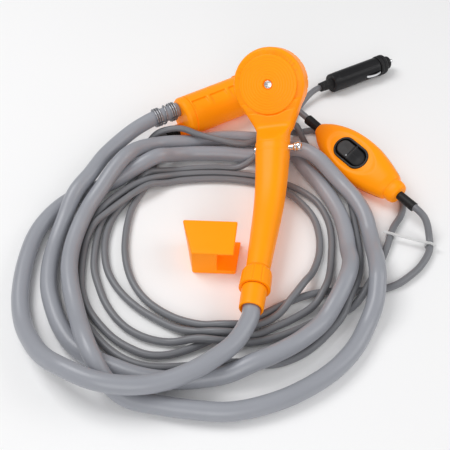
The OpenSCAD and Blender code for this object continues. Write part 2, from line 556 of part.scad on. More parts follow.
module impeller() color("white") at_pump() translate([impeller_x, 0, 0]) difference() {
    union() {
        tube_x(0, impeller_w, shaft_r + 2.6);
        tube_x(0, 1.4, impeller_d / 2);
        for (k = [0:impeller_blades - 1]) rotate([k * 360 / impeller_blades, 0, 0])
            translate([0.7, shaft_r + 0.6, 0.8]) cube([impeller_w - 1.2, 1.3, impeller_d / 2 - 2.2]);
    }
    tube_x(-1, impeller_w + 1, shaft_r + 0.02);
}

// Switch housing: a lens in plan and in side view, with the edges turned off
sw_l = switch_len / 2;
sw_w = switch_w / 2;
sw_h = switch_h / 2;
sw_end_w = 11.5;
sw_end_h = 10;
seam = 0.2;
shell_t = 2.4;
plan_r = (sw_l * sw_l + pow(sw_w - sw_end_w, 2)) / (2 * (sw_w - sw_end_w));
side_r = (sw_l * sw_l + pow(sw_h - sw_end_h, 2)) / (2 * (sw_h - sw_end_h));
collar_r = 9.6;
collar_l = 6;
boot_x = sw_l + collar_l;
rocker_r = rocker_w / 2;
frame_w = 2.6;
pivot_z = switch_h - 4;
pin_r = 1.2;
rocker_room = 1.1;
dish_r = rocker_r + frame_w + 3;
base_cut = 0.4;
edge_r = sw_w + 1.4;
// The rolled housing stands on its lower edge
switch_lift = sqrt(edge_r * edge_r - pow(sw_h - base_cut, 2)) * sin(switch_roll) + (sw_h - base_cut) * cos(switch_roll) - sw_h;
module sw_body(inset) intersection() {
    for (m = [0, 1]) mirror([0, m, 0]) translate([0, sw_w - inset - plan_r, -50]) cylinder(h = 130, r = plan_r, $fn = 200);
    for (m = [0, 1]) translate([0, 0, sw_h]) mirror([0, 0, m]) translate([0, 0, sw_h - inset - side_r]) rotate([90, 0, 0])
        cylinder(h = 130, r = side_r, center = true, $fn = 200);
    translate([-sw_l + inset, -50, -50]) cube([switch_len - 2 * inset, 100, 130]);
    translate([0, 0, sw_h]) turned_x(concat([[-sw_l - 1, 0]],
        [for (k = [-8:8]) [k / 8 * (sw_l + 1), edge_r - inset - (sw_w - sw_end_w - 2.4) * pow(k / 8, 2)]], [[sw_l + 1, 0]]));
}
module pill(l, r, h) linear_extrude(h) {
    square([l - 2 * r, 2 * r], center = true);
    for (x = [-1, 1]) translate([x * (l / 2 - r), 0]) circle(r = r);
}
module sw_collars() for (m = [0, 1]) mirror([m, 0, 0]) translate([0, 0, sw_h])
    turned_x([[sw_l - 6, 0], [sw_l - 6, collar_r], [boot_x - 1, collar_r], [boot_x, collar_r - 1], [boot_x, 0]]);
module sw_cords() translate([0, 0, sw_h]) tube_x(-boot_x - 1, boot_x + 1, cord_r + gap);
screw_at = [sw_l - 14, -sw_l + 14];
module switch_top() color("orange") at_switch() difference() {
    intersection() {
        union() {
            sw_body(0);
            sw_collars();
        }
        translate([-100, -100, sw_h + seam / 2]) cube([200, 200, 100]);
    }
    intersection() {
        sw_body(shell_t);
        translate([-40, -100, 0]) cube([80, 200, switch_h - 9]);
    }
    translate([0, 0, switch_h - 1.8]) pill(rocker_len + 2 * frame_w + 6, dish_r, 20);
    translate([0, 0, 0]) pill(rocker_len + 2 * (frame_w + rocker_room) - 1 + 2 * gap, rocker_r + frame_w + gap, 60);
    sw_cords();
    for (x = screw_at) translate([x, 0, 0]) cylinder(h = sw_h + 6, r = 1.3);
}
module switch_base() color("orange") at_switch() difference() {
    intersection() {
        union() {
            sw_body(0);
            sw_collars();
        }
        translate([-100, -100, base_cut]) cube([200, 200, sw_h - seam / 2 - base_cut]);
    }
    intersection() {
        sw_body(shell_t);
        translate([-40, -100, 4]) cube([80, 200, 60]);
    }
    sw_cords();
    for (x = screw_at) translate([x, 0, -1]) {
        cylinder(h = 60, r = 1.6);
        cylinder(h = sw_screw_z + 1, r = 2.9);
    }
}
sw_screw_z = 5;
module switch_screws() color("silver") at_switch() for (x = screw_at) translate([x, 0, 0]) {
    translate([0, 0, sw_screw_z - 2]) cylinder(h = 2, r = 2.6);
    translate([0, 0, sw_screw_z - 1]) cylinder(h = sw_h + 5.5 - sw_screw_z, r = 1.25);
}
frame_z0 = switch_h - 9.5;
frame_z1 = switch_h - 0.6;
module rocker_frame() color("black") at_switch() difference() {
    union() {
        translate([0, 0, frame_z0]) pill(rocker_len + 2 * (frame_w + rocker_room) - 1, rocker_r + frame_w, frame_z1 - frame_z0);
        translate([0, 0, switch_h - 1.8]) pill(rocker_len + 2 * frame_w + 5.2, dish_r - gap, 1);
    }
    translate([0, 0, frame_z0 - 1]) pill(rocker_len + 2 * rocker_room, rocker_r + 0.5, 40);
    translate([0, 0, pivot_z]) rotate([90, 0, 0]) cylinder(h = switch_w, r = pin_r + 0.02, center = true);
}
module rocker_pin() color("silver") at_switch() translate([0, 0, pivot_z]) rotate([90, 0, 0])
    cylinder(h = 2 * (rocker_r + frame_w) - 0.4, r = pin_r, center = true);
module rocker() color("black") at_switch() translate([0, 0, pivot_z]) rotate([0, rocker_throw / 2, 0]) difference() {
    translate([0, 0, -4]) pill(rocker_len, rocker_r, 8.2);
    rotate([90, 0, 0]) cylinder(h = switch_w, r = pin_r + run_fit, center = true);
    for (m = [0, 1]) mirror([m, 0, 0]) {
        translate([0, -switch_w / 2, 3.2]) rotate([0, rocker_throw / 2, 0]) cube([40, switch_w, 20]);
        translate([0, -switch_w / 2, -4.6]) rotate([0, rocker_throw / 2 + 3, 0]) translate([3, 0, -20]) cube([40, switch_w, 20]);
        translate([rocker_len * 0.3, 0, 8.6 - rocker_len * 0.3 * tan(rocker_throw / 2)]) sphere(r = 7.2);
    }
    translate([-0.4, -switch_w / 2, 2.4]) cube([0.8, switch_w, 3]);
}
contact_z = pivot_z - 8;
module switch_contacts() color("gold") at_switch() for (x = [-1, 0, 1]) translate([x * 11, 0, 0]) {
    translate([-3, -2.5, 4]) cube([6, 5, contact_z - 7]);
    translate([-4, -3, contact_z - 3.01]) cube([8, 6, 0.8]);
}
module boot(m) at_switch() translate([0, 0, sw_h]) mirror([m, 0, 0]) difference() {
    turned_x(concat([[boot_x, 0], [boot_x, collar_r - 1.4], [boot_x + 2.4, collar_r - 1.4]],
        [for (k = [0:4], e = [0, 1, 2, 3]) let (x = boot_x + 2.8 + (k + [0, 0.12, 0.62, 0.74][e]) * (boot_len - 3.4) / 5)
            [x, cord_r + 1.1 + (4 - k) * 0.5 + (e == 1 || e == 2 ? 0.9 : 0)]],
        [[boot_x + boot_len, cord_r + 1], [boot_x + boot_len, 0]]));
    tube_x(boot_x - 1, boot_x + boot_len + 1, cord_r + run_fit);
}
module boot_upper() color("black") boot(1);
module boot_lower() color("black") boot(0);

pump_cord_route = concat([on_switch(boot_x + 1), on_switch(boot_x + boot_len + 8)], pump_cord_mid,
    [on_pump([gland_x - gland_len - 8, gland_y, gland_z]), on_pump([gland_x - 1, gland_y, gland_z])]);
plug_cord_route = concat([on_plug(plug_boot_len - 2), on_plug(-8)], plug_cord_mid,
    [on_switch(-boot_x - boot_len - 8), on_switch(-boot_x - 1)]);
echo(pump_cord_least_gap = apart(pump_cord_route, cord_r, 4));
echo(plug_cord_least_gap = apart(plug_cord_route, cord_r, 4));
module pump_cord() color("dimgray") translate(lay) solid_tube(pump_cord_route, cord_r, cord_sides);
module plug_cord() color("dimgray") translate(lay) solid_tube(plug_cord_route, cord_r, cord_sides);

// Stations along the plug
plug_r = plug_d / 2;
barrel_x1 = plug_boot_len + plug_len;
nose_x1 = barrel_x1 + nose_len;
tip_r = tip_d / 2;
tip_x0 = barrel_x1 - 2;
tip_x1 = nose_x1 + 7;
fuse_r = fuse_d / 2;
fuse_x0 = tip_x0 - fuse_len;
clip_l = 20;
clip_x = barrel_x1 - clip_l - 5;
clip_w = 5;
clip_t = 0.8;
clip_in = fuse_r + 2.6;
spring_l = 6;
module plug_boot() color("black") at_plug() difference() {
    turned_x(concat([[0, 0], [0, cord_r + 1]],
        [for (k = [0:3], e = [0, 1, 2, 3]) let (x = 0.6 + (k + [0, 0.15, 0.6, 0.75][e]) * (plug_boot_len - 5) / 4)
            [x, cord_r + 1.2 + k * 0.7 + (e == 1 || e == 2 ? 0.8 : 0)]],
        [[plug_boot_len - 4, plug_r - 2], [plug_boot_len, plug_r - 1.6], [plug_boot_len, 0]]));
    tube_x(-1, plug_boot_len + 1, cord_r + run_fit);
}
module plug_barrel() color("black") at_plug() difference() {
    turned_x([[plug_boot_len, 0], [plug_boot_len, plug_r - 1], [plug_boot_len + 1.4, plug_r - 0.2], [plug_boot_len + 8, plug_r],
        [clip_x - 1, plug_r], [clip_x - 1, plug_r - 0.2], [barrel_x1 - 12, plug_r - 0.2], [barrel_x1 - 1, plug_r - 0.7], [barrel_x1, plug_r - 1.4], [barrel_x1, 0]]);
    for (m = [-1, 1]) translate([plug_boot_len + 6, -6, m * (plug_r + 9.5) - 10]) cube([plug_len - 14, 12, 20]);
    tube_x(fuse_x0 - spring_l - tip_travel - 1, barrel_x1 + 1, max(fuse_r, tip_r + 1) + gap);
    for (m = [0, 1]) mirror([0, m, 0]) translate([clip_x - 0.5, clip_in - 0.5, -clip_w / 2 - gap])
        cube([clip_l + 1, plug_d, clip_w + 2 * gap]);
}
module plug_ring() color("black") at_plug() difference() {
    turned_x([[barrel_x1 + gap, 0], [barrel_x1 + gap, plug_r - 0.8], [barrel_x1 + 1.4, plug_r - 0.1], [nose_x1 - 6, plug_r - 0.2],
        [nose_x1 - 3.5, plug_r - 1.4], [nose_x1 - 2.6, plug_r - 3.6], [nose_x1 - 1.8, plug_r - 3.6],
        [nose_x1 - 1.2, plug_r - 2.9], [nose_x1, plug_r - 3.2], [nose_x1, 0]]);
    tube_x(barrel_x1 - 1, barrel_x1 + 3, tip_r + 1 + gap);
    tube_x(barrel_x1 - 1, nose_x1 + 1, tip_r + run_fit);
    for (k = [0:19]) rotate([k * 18, 0, 0]) translate([barrel_x1 + 3, 0, plug_r + 0.55]) lie() cylinder(h = nose_len - 10, r = 1, $fn = 16);
}
module plug_tip() color("silver") at_plug() turned_x([[tip_x0, 0], [tip_x0, tip_r + 1], [barrel_x1 + 2.7, tip_r + 1],
    [barrel_x1 + 2.7, tip_r], [tip_x1 - 2, tip_r], [tip_x1 - 0.6, tip_r - 0.9], [tip_x1, tip_r - 2], [tip_x1, 0]]);
module plug_fuse() color("lightblue") at_plug() union() {
    tube_x(fuse_x0, fuse_x0 + 6, fuse_r);
    tube_x(fuse_x0 + 6, tip_x0 - 6, fuse_r - 0.3);
    tube_x(tip_x0 - 6, tip_x0, fuse_r);
}
spring_turns = 4;
spring_x = fuse_x0 - spring_l - tip_travel - 0.6;
spring_path = [for (k = [0:8 * spring_turns]) let (a = k * 45)
    on_plug(spring_x + 0.5 + (spring_l - 1) * k / (8 * spring_turns)) + spin_z(plug_turn, [0, 2.4 * cos(a), 2.4 * sin(a)])];
echo(spring_least_gap = apart(spring_path, 0.4, 6));
module tip_spring() color("silver") translate(lay) solid_tube(spring_path, 0.4, 6);
module clip() translate([clip_x, 0, -clip_w / 2]) difference() {
    translate([0, clip_in + tip_room, 0]) cube([clip_l, plug_r + clip_out - clip_in - tip_room, clip_w]);
    translate([clip_l / 2, plug_r + clip_out - clip_bow, -1]) difference() {
        translate([-clip_l, -clip_l, 0]) cube([2 * clip_l, 3 * clip_l, clip_w + 2]);
        translate([0, 0, -1]) cylinder(h = clip_w + 4, r = clip_bow);
    }
    translate([clip_l / 2, plug_r + clip_out - clip_bow, -1]) cylinder(h = clip_w + 2, r = clip_bow - clip_t);
}
tip_room = clip_out + 0.3;
clip_bow = 19;
module clip_left() color("silver") at_plug() clip();
module clip_right() color("silver") at_plug() mirror([0, 1, 0]) clip();

// Hanger: a tapered block with a channel that hooks over an edge
channel_x = hanger_w_near / 2 - channel_w;
flare = 3.6;
foot_out = 1.8;
module hanger() color("orange") at_hanger() difference() {
    union() {
        linear_extrude(hanger_h) polygon([[-hanger_w_near / 2, 0], [hanger_w_near / 2, 0],
            [hanger_w_near / 2 + flare, hanger_depth], [hanger_w_near / 2 + flare - hanger_w, hanger_depth]]);
        linear_extrude(lip_t) polygon([[0, 0], [hanger_w_near / 2 + foot_out, 0],
            [hanger_w_near / 2 + flare + foot_out, hanger_depth], [0, hanger_depth]]);
    }
    translate([channel_x, -1, lip_t]) cube([hanger_w, hanger_depth + 2, channel_h]);
}

// Clear tie that holds two strands of the cord together
tie_a = [153, -18, 4];
tie_b = [186.5, -30, 4.5];
module band(at, turn) translate(at) rotate([0, 0, turn]) tube_x(-1.5, 1.5, cord_r + 1, cord_r + 0.4);
module cord_tie() color("white") translate(lay) {
    band(tie_a, 68);
    band(tie_b, 78);
    difference() {
        translate([tie_a[0], tie_a[1], 4 + cord_r + 0.5]) rotate([0, 0, atan2(tie_b[1] - tie_a[1], tie_b[0] - tie_a[0])])
            translate([-8, -1.5, 0]) cube([norm(tie_b - tie_a) + 14, 3, 0.6]);
        translate(tie_a) rotate([0, 0, 68]) tube_x(-9, 9, cord_r + 0.25);
        translate(tie_b) rotate([0, 0, 78]) tube_x(-9, 9, cord_r + 0.4);
    }
}

handset_shell();
head_back_disc();
disc_screw();
spray_plate();
spray_seal();
spray_ring();
valve_pin();
valve_seals();
valve_cap();
union_nut();
tail_spigot();
tail_washer();
hose_sleeve();
shower_hose();
hose_clamp();
pump_cap();
cord_gland();
pump_casing();
casing_seal();
strainer();
motor_end();
motor_can();
rotor_shaft();
volute_plate();
shaft_seal();
impeller();
switch_top();
switch_base();
switch_screws();
rocker_frame();
rocker_pin();
rocker();
switch_contacts();
boot_upper();
boot_lower();
pump_cord();
plug_cord();
cord_tie();
plug_boot();
plug_barrel();
plug_ring();
plug_tip();
plug_fuse();
tip_spring();
clip_left();
clip_right();
hanger();
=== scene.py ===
import math

import bpy
import numpy as np
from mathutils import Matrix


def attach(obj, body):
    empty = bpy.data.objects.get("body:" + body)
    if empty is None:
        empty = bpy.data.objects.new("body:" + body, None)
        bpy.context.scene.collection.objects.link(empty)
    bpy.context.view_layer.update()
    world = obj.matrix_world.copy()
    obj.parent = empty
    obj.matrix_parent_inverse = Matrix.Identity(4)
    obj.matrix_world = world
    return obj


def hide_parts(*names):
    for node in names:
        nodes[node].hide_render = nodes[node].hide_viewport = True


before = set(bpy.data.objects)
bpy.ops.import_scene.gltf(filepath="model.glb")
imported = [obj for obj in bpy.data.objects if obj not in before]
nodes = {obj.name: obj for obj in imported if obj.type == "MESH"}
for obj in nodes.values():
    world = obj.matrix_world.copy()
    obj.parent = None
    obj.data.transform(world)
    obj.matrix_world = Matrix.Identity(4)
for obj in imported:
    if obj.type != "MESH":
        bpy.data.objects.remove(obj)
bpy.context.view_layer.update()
print("frame loaded")

# Shared helpers for points in millimetres and meshes in metres
lay = np.array([-2.6, -46.54, 0.0])  # shift that centres the whole set on the frame's origin
metres = 0.001
fullTurn = 2 * math.pi


def turn(axis, degrees):
    # Rotation matrix about one of the three axes
    c, s = math.cos(math.radians(degrees)), math.sin(math.radians(degrees))
    if axis == "x":
        return np.array([[1, 0, 0], [0, c, -s], [0, s, c]])
    if axis == "y":
        return np.array([[c, 0, s], [0, 1, 0], [-s, 0, c]])
    return np.array([[c, -s, 0], [s, c, 0], [0, 0, 1]])


def place(origin, matrix):
    # Maps points of a piece's own frame to the table, both in millimetres
    base = lay + np.array(origin, float)

    def mapped(points):
        return np.asarray(points, float) @ matrix.T + base

    return mapped


onHandset = place([22.2, -107.5, 22], turn("z", 80.5) @ turn("y", -0.2) @ turn("x", -16.5))
onPump = place([-38, 134, 22.1], turn("z", 32))
switchTurn = turn("z", -55) @ turn("x", 16)
onSwitch = place(np.array([128, 73, 19.423]) - switchTurn @ np.array([0, 0, 15.0]), switchTurn)
onPlug = place([106, 196, 10], turn("z", 30))
onHanger = place([-10, -59, 0], np.eye(3))


def smoothRoute(points, step):
    # Catmull-Rom curve through the points, then sampled again at even steps of arc length
    p = np.asarray(points, float)
    p = np.vstack([2 * p[0] - p[1], p, 2 * p[-1] - p[-2]])
    t = np.linspace(0, 1, 16, endpoint=False)[:, None]
    parts = []
    for i in range(1, len(p) - 2):
        a, b, c, d = p[i - 1], p[i], p[i + 1], p[i + 2]
        parts.append(0.5 * (2 * b + (c - a) * t + (2 * a - 5 * b + 4 * c - d) * t ** 2
                            + (3 * b - a - 3 * c + d) * t ** 3))
    line = np.vstack(parts + [p[-2:-1]])
    run = np.concatenate([[0], np.cumsum(np.linalg.norm(np.diff(line, axis=0), axis=1))])
    count = max(2, int(run[-1] / step))
    at = np.linspace(0, run[-1], count + 1)
    return np.stack([np.interp(at, run, line[:, k]) for k in range(3)], axis=1), run[-1]


def frames(line):
    # Tangent, side and up direction at each point, carried along without twist
    t = np.gradient(line, axis=0)
    t /= np.linalg.norm(t, axis=1)[:, None]
    sides = np.zeros_like(t)
    s = np.cross(t[0], [0.02, 0.01, 1.0])
    for i in range(len(t)):
        s = s - t[i] * (s @ t[i])
        s /= np.linalg.norm(s)
        sides[i] = s
    return t, sides, np.cross(sides, t)


def sweep(line, radius, sides):
    # Closed ring of the given radius at each point of the line, joined to a tube
    t, s, u = frames(line)
    r = np.broadcast_to(np.asarray(radius, float), (len(line),))
    a = np.linspace(0, fullTurn, sides, endpoint=False)
    return (line[:, None, :] + r[:, None, None] * (np.cos(a)[None, :, None] * s[:, None, :]
            + np.sin(a)[None, :, None] * u[:, None, :]))


def gridFaces(rows, cols, wrap, base=0, flip=False):
    # Quads between the rows and columns of a grid of points
    i = np.arange(rows - 1)[:, None]
    k = np.arange(cols if wrap else cols - 1)[None, :]
    a = base + i * cols + k
    b = base + i * cols + (k + 1) % cols
    quads = np.stack([a, b, b + cols, a + cols], axis=-1).reshape(-1, 4)
    return quads[:, ::-1] if flip else quads


def putMesh(name, points, faces, material, body="set", smooth=True, caps=()):
    # Mesh object from points in millimetres on the table, riding on a body; its end caps are flat
    mesh = bpy.data.meshes.new(name)
    flat = np.asarray(points, float).reshape(-1, 3) * metres
    mesh.from_pydata(flat.tolist(), [], [list(map(int, f)) for f in faces] + [list(map(int, c)) for c in caps])
    mesh.validate()
    mesh.update()
    mesh.shade_smooth() if smooth else mesh.shade_flat()
    for face in mesh.polygons[len(faces):]:
        face.use_smooth = False
    mesh.materials.append(material)
    obj = bpy.data.objects.new(name, mesh)
    bpy.context.collection.objects.link(obj)
    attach(obj, body)
    return obj


def putGrid(name, grid, material, body="set", flip=False, ends="caps", smooth=True):
    # Grid that closes round its columns, with a flat cap at each end, or its last row joined to its first
    rows, cols = grid.shape[:2]
    first, last = list(range(cols)), list(range((rows - 1) * cols, rows * cols))
    caps = [first[::-1], last]
    if ends == "ring":
        caps = [[last[k - 1], last[k], first[k], first[k - 1]] for k in range(cols)]
    if flip:
        caps = [cap[::-1] for cap in caps]
    return putMesh(name, grid, gridFaces(rows, cols, True, flip=flip), materials[material], body, smooth, caps)


def dress(piece, slot, *replaced):
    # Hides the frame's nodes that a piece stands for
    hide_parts(*replaced)


# Materials, all procedural on object coordinates
surfaceSettings = {"mottle": 35.0, "marks": 120.0, "grain": 900.0, "spread": 0.05, "grainDepth": 0.0002}


def makeMaterial(name, look):
    # Colour mottled between two close tints, gloss that changes a little with handling marks, a fine grain, and
    # where a look gives one a painted glow: a faint emission that lifts the shaded sides
    material = bpy.data.materials.new(name)
    material.use_nodes = True
    tree = material.node_tree
    shader = tree.nodes["Principled BSDF"]
    constant = {
        "Metallic": look.get("metallic", 0.0), "IOR": look.get("ior", 1.46),
        "Specular IOR Level": look.get("specular", 0.5),
        "Emission Color": (*look.get("paintedGlow", (0, 0, 0)), 1), "Emission Strength": 1.0,
        "Transmission Weight": look.get("transmission", 0.0),
        "Subsurface Weight": look.get("subsurface", 0.0),
        "Subsurface Radius": look.get("subsurfaceRadius", (1.0, 0.4, 0.1)),
        "Subsurface Scale": look.get("subsurfaceScale", 0.001),
    }
    for socket, value in constant.items():
        shader.inputs[socket].default_value = value
    coords = tree.nodes.new("ShaderNodeTexCoord")

    def noise(scale, detail):
        node = tree.nodes.new("ShaderNodeTexNoise")
        node.inputs["Scale"].default_value = scale
        node.inputs["Detail"].default_value = detail
        tree.links.new(coords.outputs["Object"], node.inputs["Vector"])
        return node.outputs["Fac"]

    mottle = noise(look.get("mottleScale", surfaceSettings["mottle"]), 4.0)
    tint = tree.nodes.new("ShaderNodeMix")
    tint.data_type = "RGBA"
    tint.inputs["A"].default_value = (*look["dark"], 1.0)
    tint.inputs["B"].default_value = (*look["light"], 1.0)
    tree.links.new(mottle, tint.inputs["Factor"])
    tree.links.new(tint.outputs["Result"], shader.inputs["Base Color"])
    marks = noise(surfaceSettings["marks"], 6.0)
    gloss = tree.nodes.new("ShaderNodeMapRange")
    gloss.inputs["To Min"].default_value = look["roughness"] - surfaceSettings["spread"]
    gloss.inputs["To Max"].default_value = look["roughness"] + surfaceSettings["spread"]
    tree.links.new(marks, gloss.inputs["Value"])
    tree.links.new(gloss.outputs["Result"], shader.inputs["Roughness"])
    grain = noise(surfaceSettings["grain"], 2.0)
    bump = tree.nodes.new("ShaderNodeBump")
    bump.inputs["Strength"].default_value = look.get("grain", 0.05)
    bump.inputs["Distance"].default_value = surfaceSettings["grainDepth"]
    tree.links.new(grain, bump.inputs["Height"])
    tree.links.new(bump.outputs["Normal"], shader.inputs["Normal"])
    return material


looks = {
    # The orange carries a painted glow, a faint red-orange emission that stands in for light and lifts its shaded
    # sides to a deep orange
    "orange": {"dark": (0.95, 0.315, 0.0015), "light": (1.0, 0.355, 0.003), "roughness": 0.38, "grain": 0.04,
               "specular": 0.22, "paintedGlow": (0.20, 0.032, 0.0)},
    "black": {"dark": (0.007, 0.007, 0.008), "light": (0.012, 0.012, 0.014), "roughness": 0.40, "grain": 0.08,
              "specular": 0.32},
    "rubber": {"dark": (0.009, 0.009, 0.010), "light": (0.015, 0.015, 0.016), "roughness": 0.50, "grain": 0.12,
               "specular": 0.35},
    "hose": {"dark": (0.300, 0.310, 0.345), "light": (0.345, 0.356, 0.392), "roughness": 0.30, "grain": 0.03,
             "mottleScale": 14.0, "subsurface": 0.08, "subsurfaceRadius": (1.0, 1.0, 1.0), "subsurfaceScale": 0.001},
    "cord": {"dark": (0.170, 0.173, 0.188), "light": (0.210, 0.214, 0.230), "roughness": 0.36, "grain": 0.05,
             "mottleScale": 22.0},
    "seal": {"dark": (0.010, 0.010, 0.010), "light": (0.018, 0.018, 0.018), "roughness": 0.6, "grain": 0.1},
    "chrome": {"dark": (0.70, 0.71, 0.73), "light": (0.80, 0.81, 0.83), "roughness": 0.12, "metallic": 1.0,
               "grain": 0.02},
    "steel": {"dark": (0.48, 0.48, 0.49), "light": (0.62, 0.62, 0.63), "roughness": 0.26, "metallic": 1.0,
              "grain": 0.05},
    "wire": {"dark": (0.30, 0.30, 0.32), "light": (0.42, 0.42, 0.44), "roughness": 0.48, "metallic": 1.0},
    "screw": {"dark": (0.72, 0.72, 0.73), "light": (0.84, 0.84, 0.85), "roughness": 0.3, "metallic": 1.0},
    "brass": {"dark": (0.72, 0.50, 0.20), "light": (0.82, 0.60, 0.28), "roughness": 0.25, "metallic": 1.0},
    "white": {"dark": (0.70, 0.70, 0.69), "light": (0.78, 0.78, 0.77), "roughness": 0.40},
    "grey": {"dark": (0.24, 0.24, 0.25), "light": (0.30, 0.30, 0.31), "roughness": 0.42},
    "clear": {"dark": (0.86, 0.86, 0.86), "light": (0.92, 0.92, 0.92), "roughness": 0.30, "transmission": 0.45},
    "glass": {"dark": (0.92, 0.94, 0.94), "light": (0.96, 0.97, 0.97), "roughness": 0.05, "transmission": 1.0,
              "ior": 1.5},
}
materials = {name: makeMaterial(name, look) for name, look in looks.items()}
nodeLooks = {
    "orange": ["handset_shell", "head_back_disc", "spray_ring", "union_nut", "hose_sleeve", "pump_cap",
               "pump_casing", "strainer", "switch_top", "switch_base", "hanger"],
    "black": ["rocker", "rocker_frame", "plug_barrel", "plug_ring", "volute_plate"],
    "rubber": ["boot_upper", "boot_lower", "plug_boot", "cord_gland"],
    "seal": ["spray_seal", "valve_seals", "tail_washer", "casing_seal", "shaft_seal"],
    "chrome": ["valve_pin", "valve_cap", "plug_tip"],
    "wire": ["hose_clamp"],
    "steel": ["disc_screw", "motor_can", "rotor_shaft", "switch_screws", "rocker_pin", "tip_spring",
              "clip_left", "clip_right"],
    "brass": ["switch_contacts"],
    "white": ["impeller", "motor_end"],
    "grey": ["spray_plate", "tail_spigot"],
    "clear": ["cord_tie"],
    "glass": ["plug_fuse"],
    "hose": ["shower_hose"],
    "cord": ["pump_cord", "plug_cord"],
}
for look, names in nodeLooks.items():
    for name in names:
        mesh = nodes[name].data
        mesh.materials.clear()
        mesh.materials.append(materials[look])
print("materials put on the frame")

# Hose and cords, on the same routes as the part's source
hoseMid = [
    [-95, 102, 27], [-117, 72, 25], [-129, 44, 25], [-141, 20, 23], [-149, -4, 13], [-154, -28, 8],
    [-155, -55, 8], [-152, -80, 8], [-145, -101, 8], [-136, -120, 8], [-124, -137, 8], [-109, -149, 8],
    [-90, -158, 8], [-70, -166, 8], [-50, -170, 8], [-28, -170, 8], [0, -166, 9], [22, -159, 15],
    [42, -150, 16], [61, -138, 15.5], [80, -120, 14], [93, -101, 19], [104, -79, 22], [110, -58, 16],
    [111, -38, 9], [111, -18, 8], [109, 2, 8], [104, 20, 8], [96, 40, 8], [88, 56, 8], [80, 70, 8],
    [73, 86, 8], [60, 100, 8], [41, 111, 8], [22, 114, 8], [2, 115, 8], [-18, 112, 8], [-36, 107, 9],
    [-52, 102, 13], [-68, 95, 17], [-85, 80, 25], [-97, 63, 30], [-108, 45, 27], [-117, 28, 22],
    [-126, 10, 18], [-132, -12, 17], [-136, -36, 15.5], [-136, -60, 15.5], [-132, -82, 15.5],
    [-126, -102, 15.5], [-119, -122, 18], [-112, -140, 23], [-103, -158, 23], [-92, -174, 15],
    [-74, -186, 8], [-48, -192, 8], [-20, -196, 8], [5, -197, 8], [32, -191, 8], [58, -180, 8],
    [84, -163, 8], [104, -142, 8], [117, -120, 9], [126, -100, 16], [130, -78, 22], [132, -58, 19],
    [133, -38, 12], [133, -18, 9], [130, 2, 13], [123, 20, 15.5], [114.3, 36.3, 15.5], [103.2, 51.8, 19],
    [91.3, 66.4, 24], [78, 77, 25], [61, 83, 21], [46, 86, 12], [28, 87, 8], [4, 90, 8], [-22, 91, 8],
    [-40, 89, 9], [-54, 82, 14], [-68, 71, 22], [-88, 59, 18], [-110, 47, 10], [-133, 36, 8],
    [-152, 22, 8], [-166, 2, 8], [-174, -20, 8], [-177, -45, 8], [-177, -70, 8], [-174, -95, 8],
    [-167, -118, 9], [-156, -138, 14], [-142, -156, 20], [-122, -171, 27], [-98, -182, 28],
    [-72, -185, 26], [-48, -181, 24], [-26, -172, 24], [-8, -160, 24], [8, -145, 23]]
pumpCordMid = [
    [186, -10, 14], [188, -23, 5], [185, -37, 4], [174, -54, 4], [160, -67, 4], [148, -75, 4],
    [132, -80, 4], [112, -81, 4], [95, -81, 4], [76, -84, 4], [60, -90, 4], [45, -98, 4], [28, -108, 4],
    [8, -120, 4], [-12, -131, 4], [-30, -140, 4], [-46, -145, 4], [-62, -145, 4], [-77, -139, 4],
    [-92, -129, 4], [-106, -114, 4], [-117, -98, 4], [-124, -80, 4], [-127, -62, 4], [-128, -42, 4],
    [-127, -22, 5], [-121, -7, 10], [-111, 5, 11], [-99, 19, 11], [-87, 32, 11], [-73, 43, 11],
    [-58, 51, 5], [-40, 56, 4], [-10, 58, 4], [20, 55, 4], [44, 48, 4], [62, 37, 4], [75, 22, 4],
    [84, 4, 4], [87, -18, 4], [85, -40, 4], [78, -60, 5], [69, -76, 11], [57, -93, 11], [44, -108, 7],
    [27, -117, 6], [12, -120, 11], [-4, -120, 11], [-20, -117, 6], [-40, -110, 4], [-57, -100, 4],
    [-70, -88, 4], [-80, -73, 4], [-87, -55, 4], [-91, -35, 4], [-92, -14, 4], [-91, 5, 4], [-88, 22, 4],
    [-81, 40, 4], [-75, 58, 4], [-72, 78, 4], [-72, 95, 4]]
